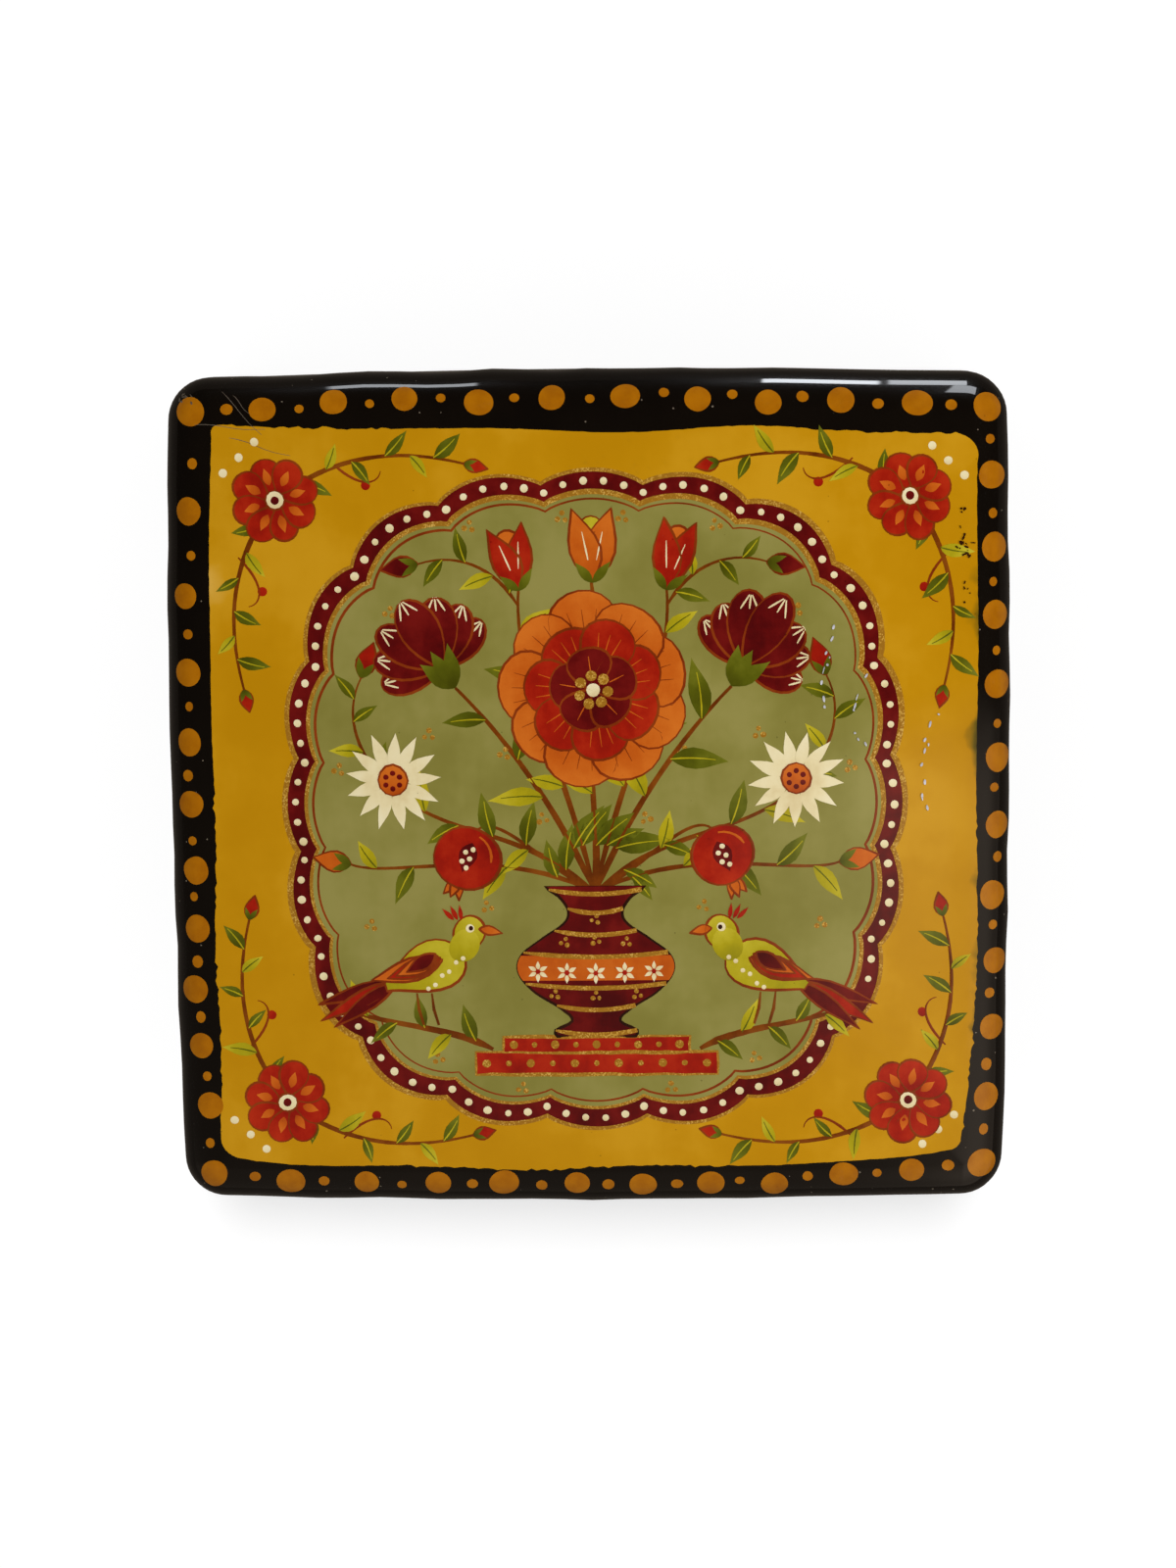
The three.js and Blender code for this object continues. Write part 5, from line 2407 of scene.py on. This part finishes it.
    def card(self, name: str, at: Place, away: Place, size: Place, radiance: float, soft: float) -> Piece:
        """Set up a card that is only seen in the gloss.

        Args:
            name: The card's name.
            at: Its place.
            away: The direction that it turns its back to.
            size: Its width and height.
            radiance: How bright its face is.
            soft: How much of each half of it the light takes to die out, from 0 to 1.

        Returns:
            The card.
        """
        lamp = bpy.data.lights.new(name, "AREA")
        lamp.shape = "RECTANGLE"
        lamp.size, lamp.size_y = size
        lamp.energy = radiance * math.pi * size[0] * size[1]
        lamp.color = self.card_colour
        lamp.use_nodes = True
        sheet = NodeSheet(lamp.node_tree)
        shares = sheet.add("SeparateXYZ", {0: sheet.add("NewGeometry").outputs["Parametric"]}).outputs
        depths = [sheet.math("ABSOLUTE", sheet.math("SUBTRACT", share, 0.5)) for share in shares[:2]]
        fades = [sheet.between(depth, 0.5, 0.5 - soft / 2) for depth in depths]
        light = sheet.add("Emission", {"Strength": sheet.math("MULTIPLY", *fades)})
        sheet.add("OutputLight", {"Surface": light.outputs[0]})
        return self.hang(lamp, at, away, mirrored=True)

    @staticmethod
    def receivers(name: str, pieces: Sequence[Piece], state: str) -> bpy.types.Collection:
        """Collect the pieces that a lamp lights alone, or spares.

        Args:
            name: The collection's name.
            pieces: Those pieces.
            state: INCLUDE or EXCLUDE.

        Returns:
            The collection.
        """
        collection = bpy.data.collections.new(name)
        for piece in pieces:
            collection.objects.link(piece)
        for entry in collection.collection_objects:
            entry.light_linking.link_state = state
        return collection

    def edge_cards(self, pieces: Sequence[Piece]) -> None:
        """Set up the cards behind the lid, with their lengths in millimetres.

        Args:
            pieces: The pieces whose gloss shows them.
        """
        shown = self.receivers("glossed_edge", pieces, "INCLUDE")
        for name, at, away, size, radiance in (
            ("shoulder_right", (28.5, 103.7, 44.0), (0, 1, 0), (16, 17), 17.0),
            ("shoulder_left", (-25.8, 103.7, 50.4), (0, 1, 0), (20.3, 13), 6.8),
            ("shoulder_corner", (43.6, 103.7, 41.5), (0, 1, 0), (13.5, 21), 9.0),
            ("corner_blade", (47.5, 67.0, 51.4), (0.2, 0.89, 0.41), (13, 14), 7.0),
        ):
            lit = self.card(name, Vector(at) * MM, away, Vector(size) * MM, radiance, self.edge_card_soft)
            lit.light_linking.receiver_collection = shown

    def wall_cards(self, pieces: Sequence[Piece]) -> None:
        """Lay the soft cards on the floor round the box.

        Args:
            pieces: The pieces whose gloss shows them.
        """
        shown = self.receivers("glossed_walls", pieces, "INCLUDE")
        for number in range(4):
            size = self.wall_card_size if number % 2 else self.wall_card_size[::-1]
            at = Matrix.Rotation(number * QUARTER, 3, "Z") @ Vector((self.wall_card_way, 0, MM))
            name = f"wall_card_{number}"
            lit = self.card(name, at, (0, 0, -1), size, self.wall_card, self.wall_card_soft)
            lit.light_linking.receiver_collection = shown

    def camera(self) -> None:
        """Set the camera above the lid at the photograph's angle."""
        level = math.cos(self.tilt)
        away = Vector((math.sin(self.swing) * level, math.sin(self.tilt), math.cos(self.swing) * level))
        data = bpy.data.cameras.new("camera")
        data.sensor_fit = "VERTICAL"
        data.sensor_height = self.sensor
        data.lens = self.focal_pixels / self.frame_pixels * self.sensor
        data.clip_start = 0.01
        seat = bpy.data.objects.new("camera", data)
        place = Vector((0, 0, self.lid_top)) + away * self.distance_mm * MM
        forward = (Vector((0, self.aim_up, self.lid_top)) - place).normalized()
        right = forward.cross(Vector((0, 1, 0))).normalized()
        basis = Matrix((right, right.cross(forward), -forward)).transposed()
        seat.matrix_world = Matrix.Translation(place) @ basis.to_4x4() @ Matrix.Rotation(-self.roll, 4, "Z")
        bpy.context.scene.collection.objects.link(seat)
        bpy.context.scene.camera = seat

    def build(self, edge: Sequence[Piece], walls: Sequence[Piece]) -> None:
        """Build the whole studio.

        Args:
            edge: The pieces whose gloss shows the cards behind the lid.
            walls: The pieces whose gloss shows the cards on the floor.
        """
        bpy.context.scene.view_settings.view_transform = "Standard"
        floor = self.floor()
        self.world()
        self.disc("key", (0.12, 1.44, 6.0), (1.2, 2.4), 35.0)
        near = self.disc("near_right", (0.2, 0.0, 0.24), (0.12, 0.12), 7.5)
        near.light_linking.receiver_collection = self.receivers("spared_floor", [floor], "EXCLUDE")
        for name, towards in self.fills.items():
            lamp = bpy.data.lights.new(name, "SUN")
            lamp.energy, lamp.angle = self.fill, self.fill_angle
            self.hang(lamp, towards, towards, mirrored=False)
        self.edge_cards(edge)
        self.wall_cards(walls)
        self.camera()


def main() -> None:
    """Build every piece, dress it and report it."""
    logging.basicConfig(level=logging.INFO, format="%(name)s: %(message)s")
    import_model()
    effects = Effects()
    black = BLACK_LACQUER.material(effects)
    red = RED_LACQUER.material(effects)
    velvet = WINE_VELVET.material(effects)
    brass = AGED_BRASS.material(effects)
    plan = Plan()
    hinge = HingeLine()

    lid = Lid(plan, hinge)
    lid.build()
    dress(lid.shell, [black], "lid", "black_lacquer", "lid_shell")
    dress(lid.build_lining(), [velvet], "lid", "wine_velvet", "lid_lining")

    tray = Tray(plan, hinge)
    walls = dress(tray.build_walls(), [black, red], "box", "black_lacquer", "wall_frame")
    tray.redden(walls)
    base = dress(tray.build_base(), [black], "box", "black_lacquer", "base_plate")
    dress(tray.build_collar(), [red], "box", "red_lacquer", "inner_collar")
    pad = dress(tray.build_pad(), [velvet], "box", "wine_velvet", "base_pad")

    BarrelHinges(hinge).build(brass)

    easel = Easel(seed=11)
    Panel(easel).paint()
    BorderDots().paint(easel)
    Wear(easel).paint()
    paints = {pigment: pigment.value.material(effects) for pigment in Pigment}
    painted = {}
    for pigment, layer in easel.layers.items():
        piece = layer.build(pigment.value.name + "_paint", lid.bed)
        painted[pigment] = dress(piece, [paints[pigment]], "lid", "black_lacquer")
    row = dress(WallDots(plan).build(seed=5), [paints[Pigment.BORDER]], "box", "black_lacquer")

    Studio().build([lid.shell, painted[Pigment.BORDER]], [walls, base, row])


if __name__ == "__main__":
    main()
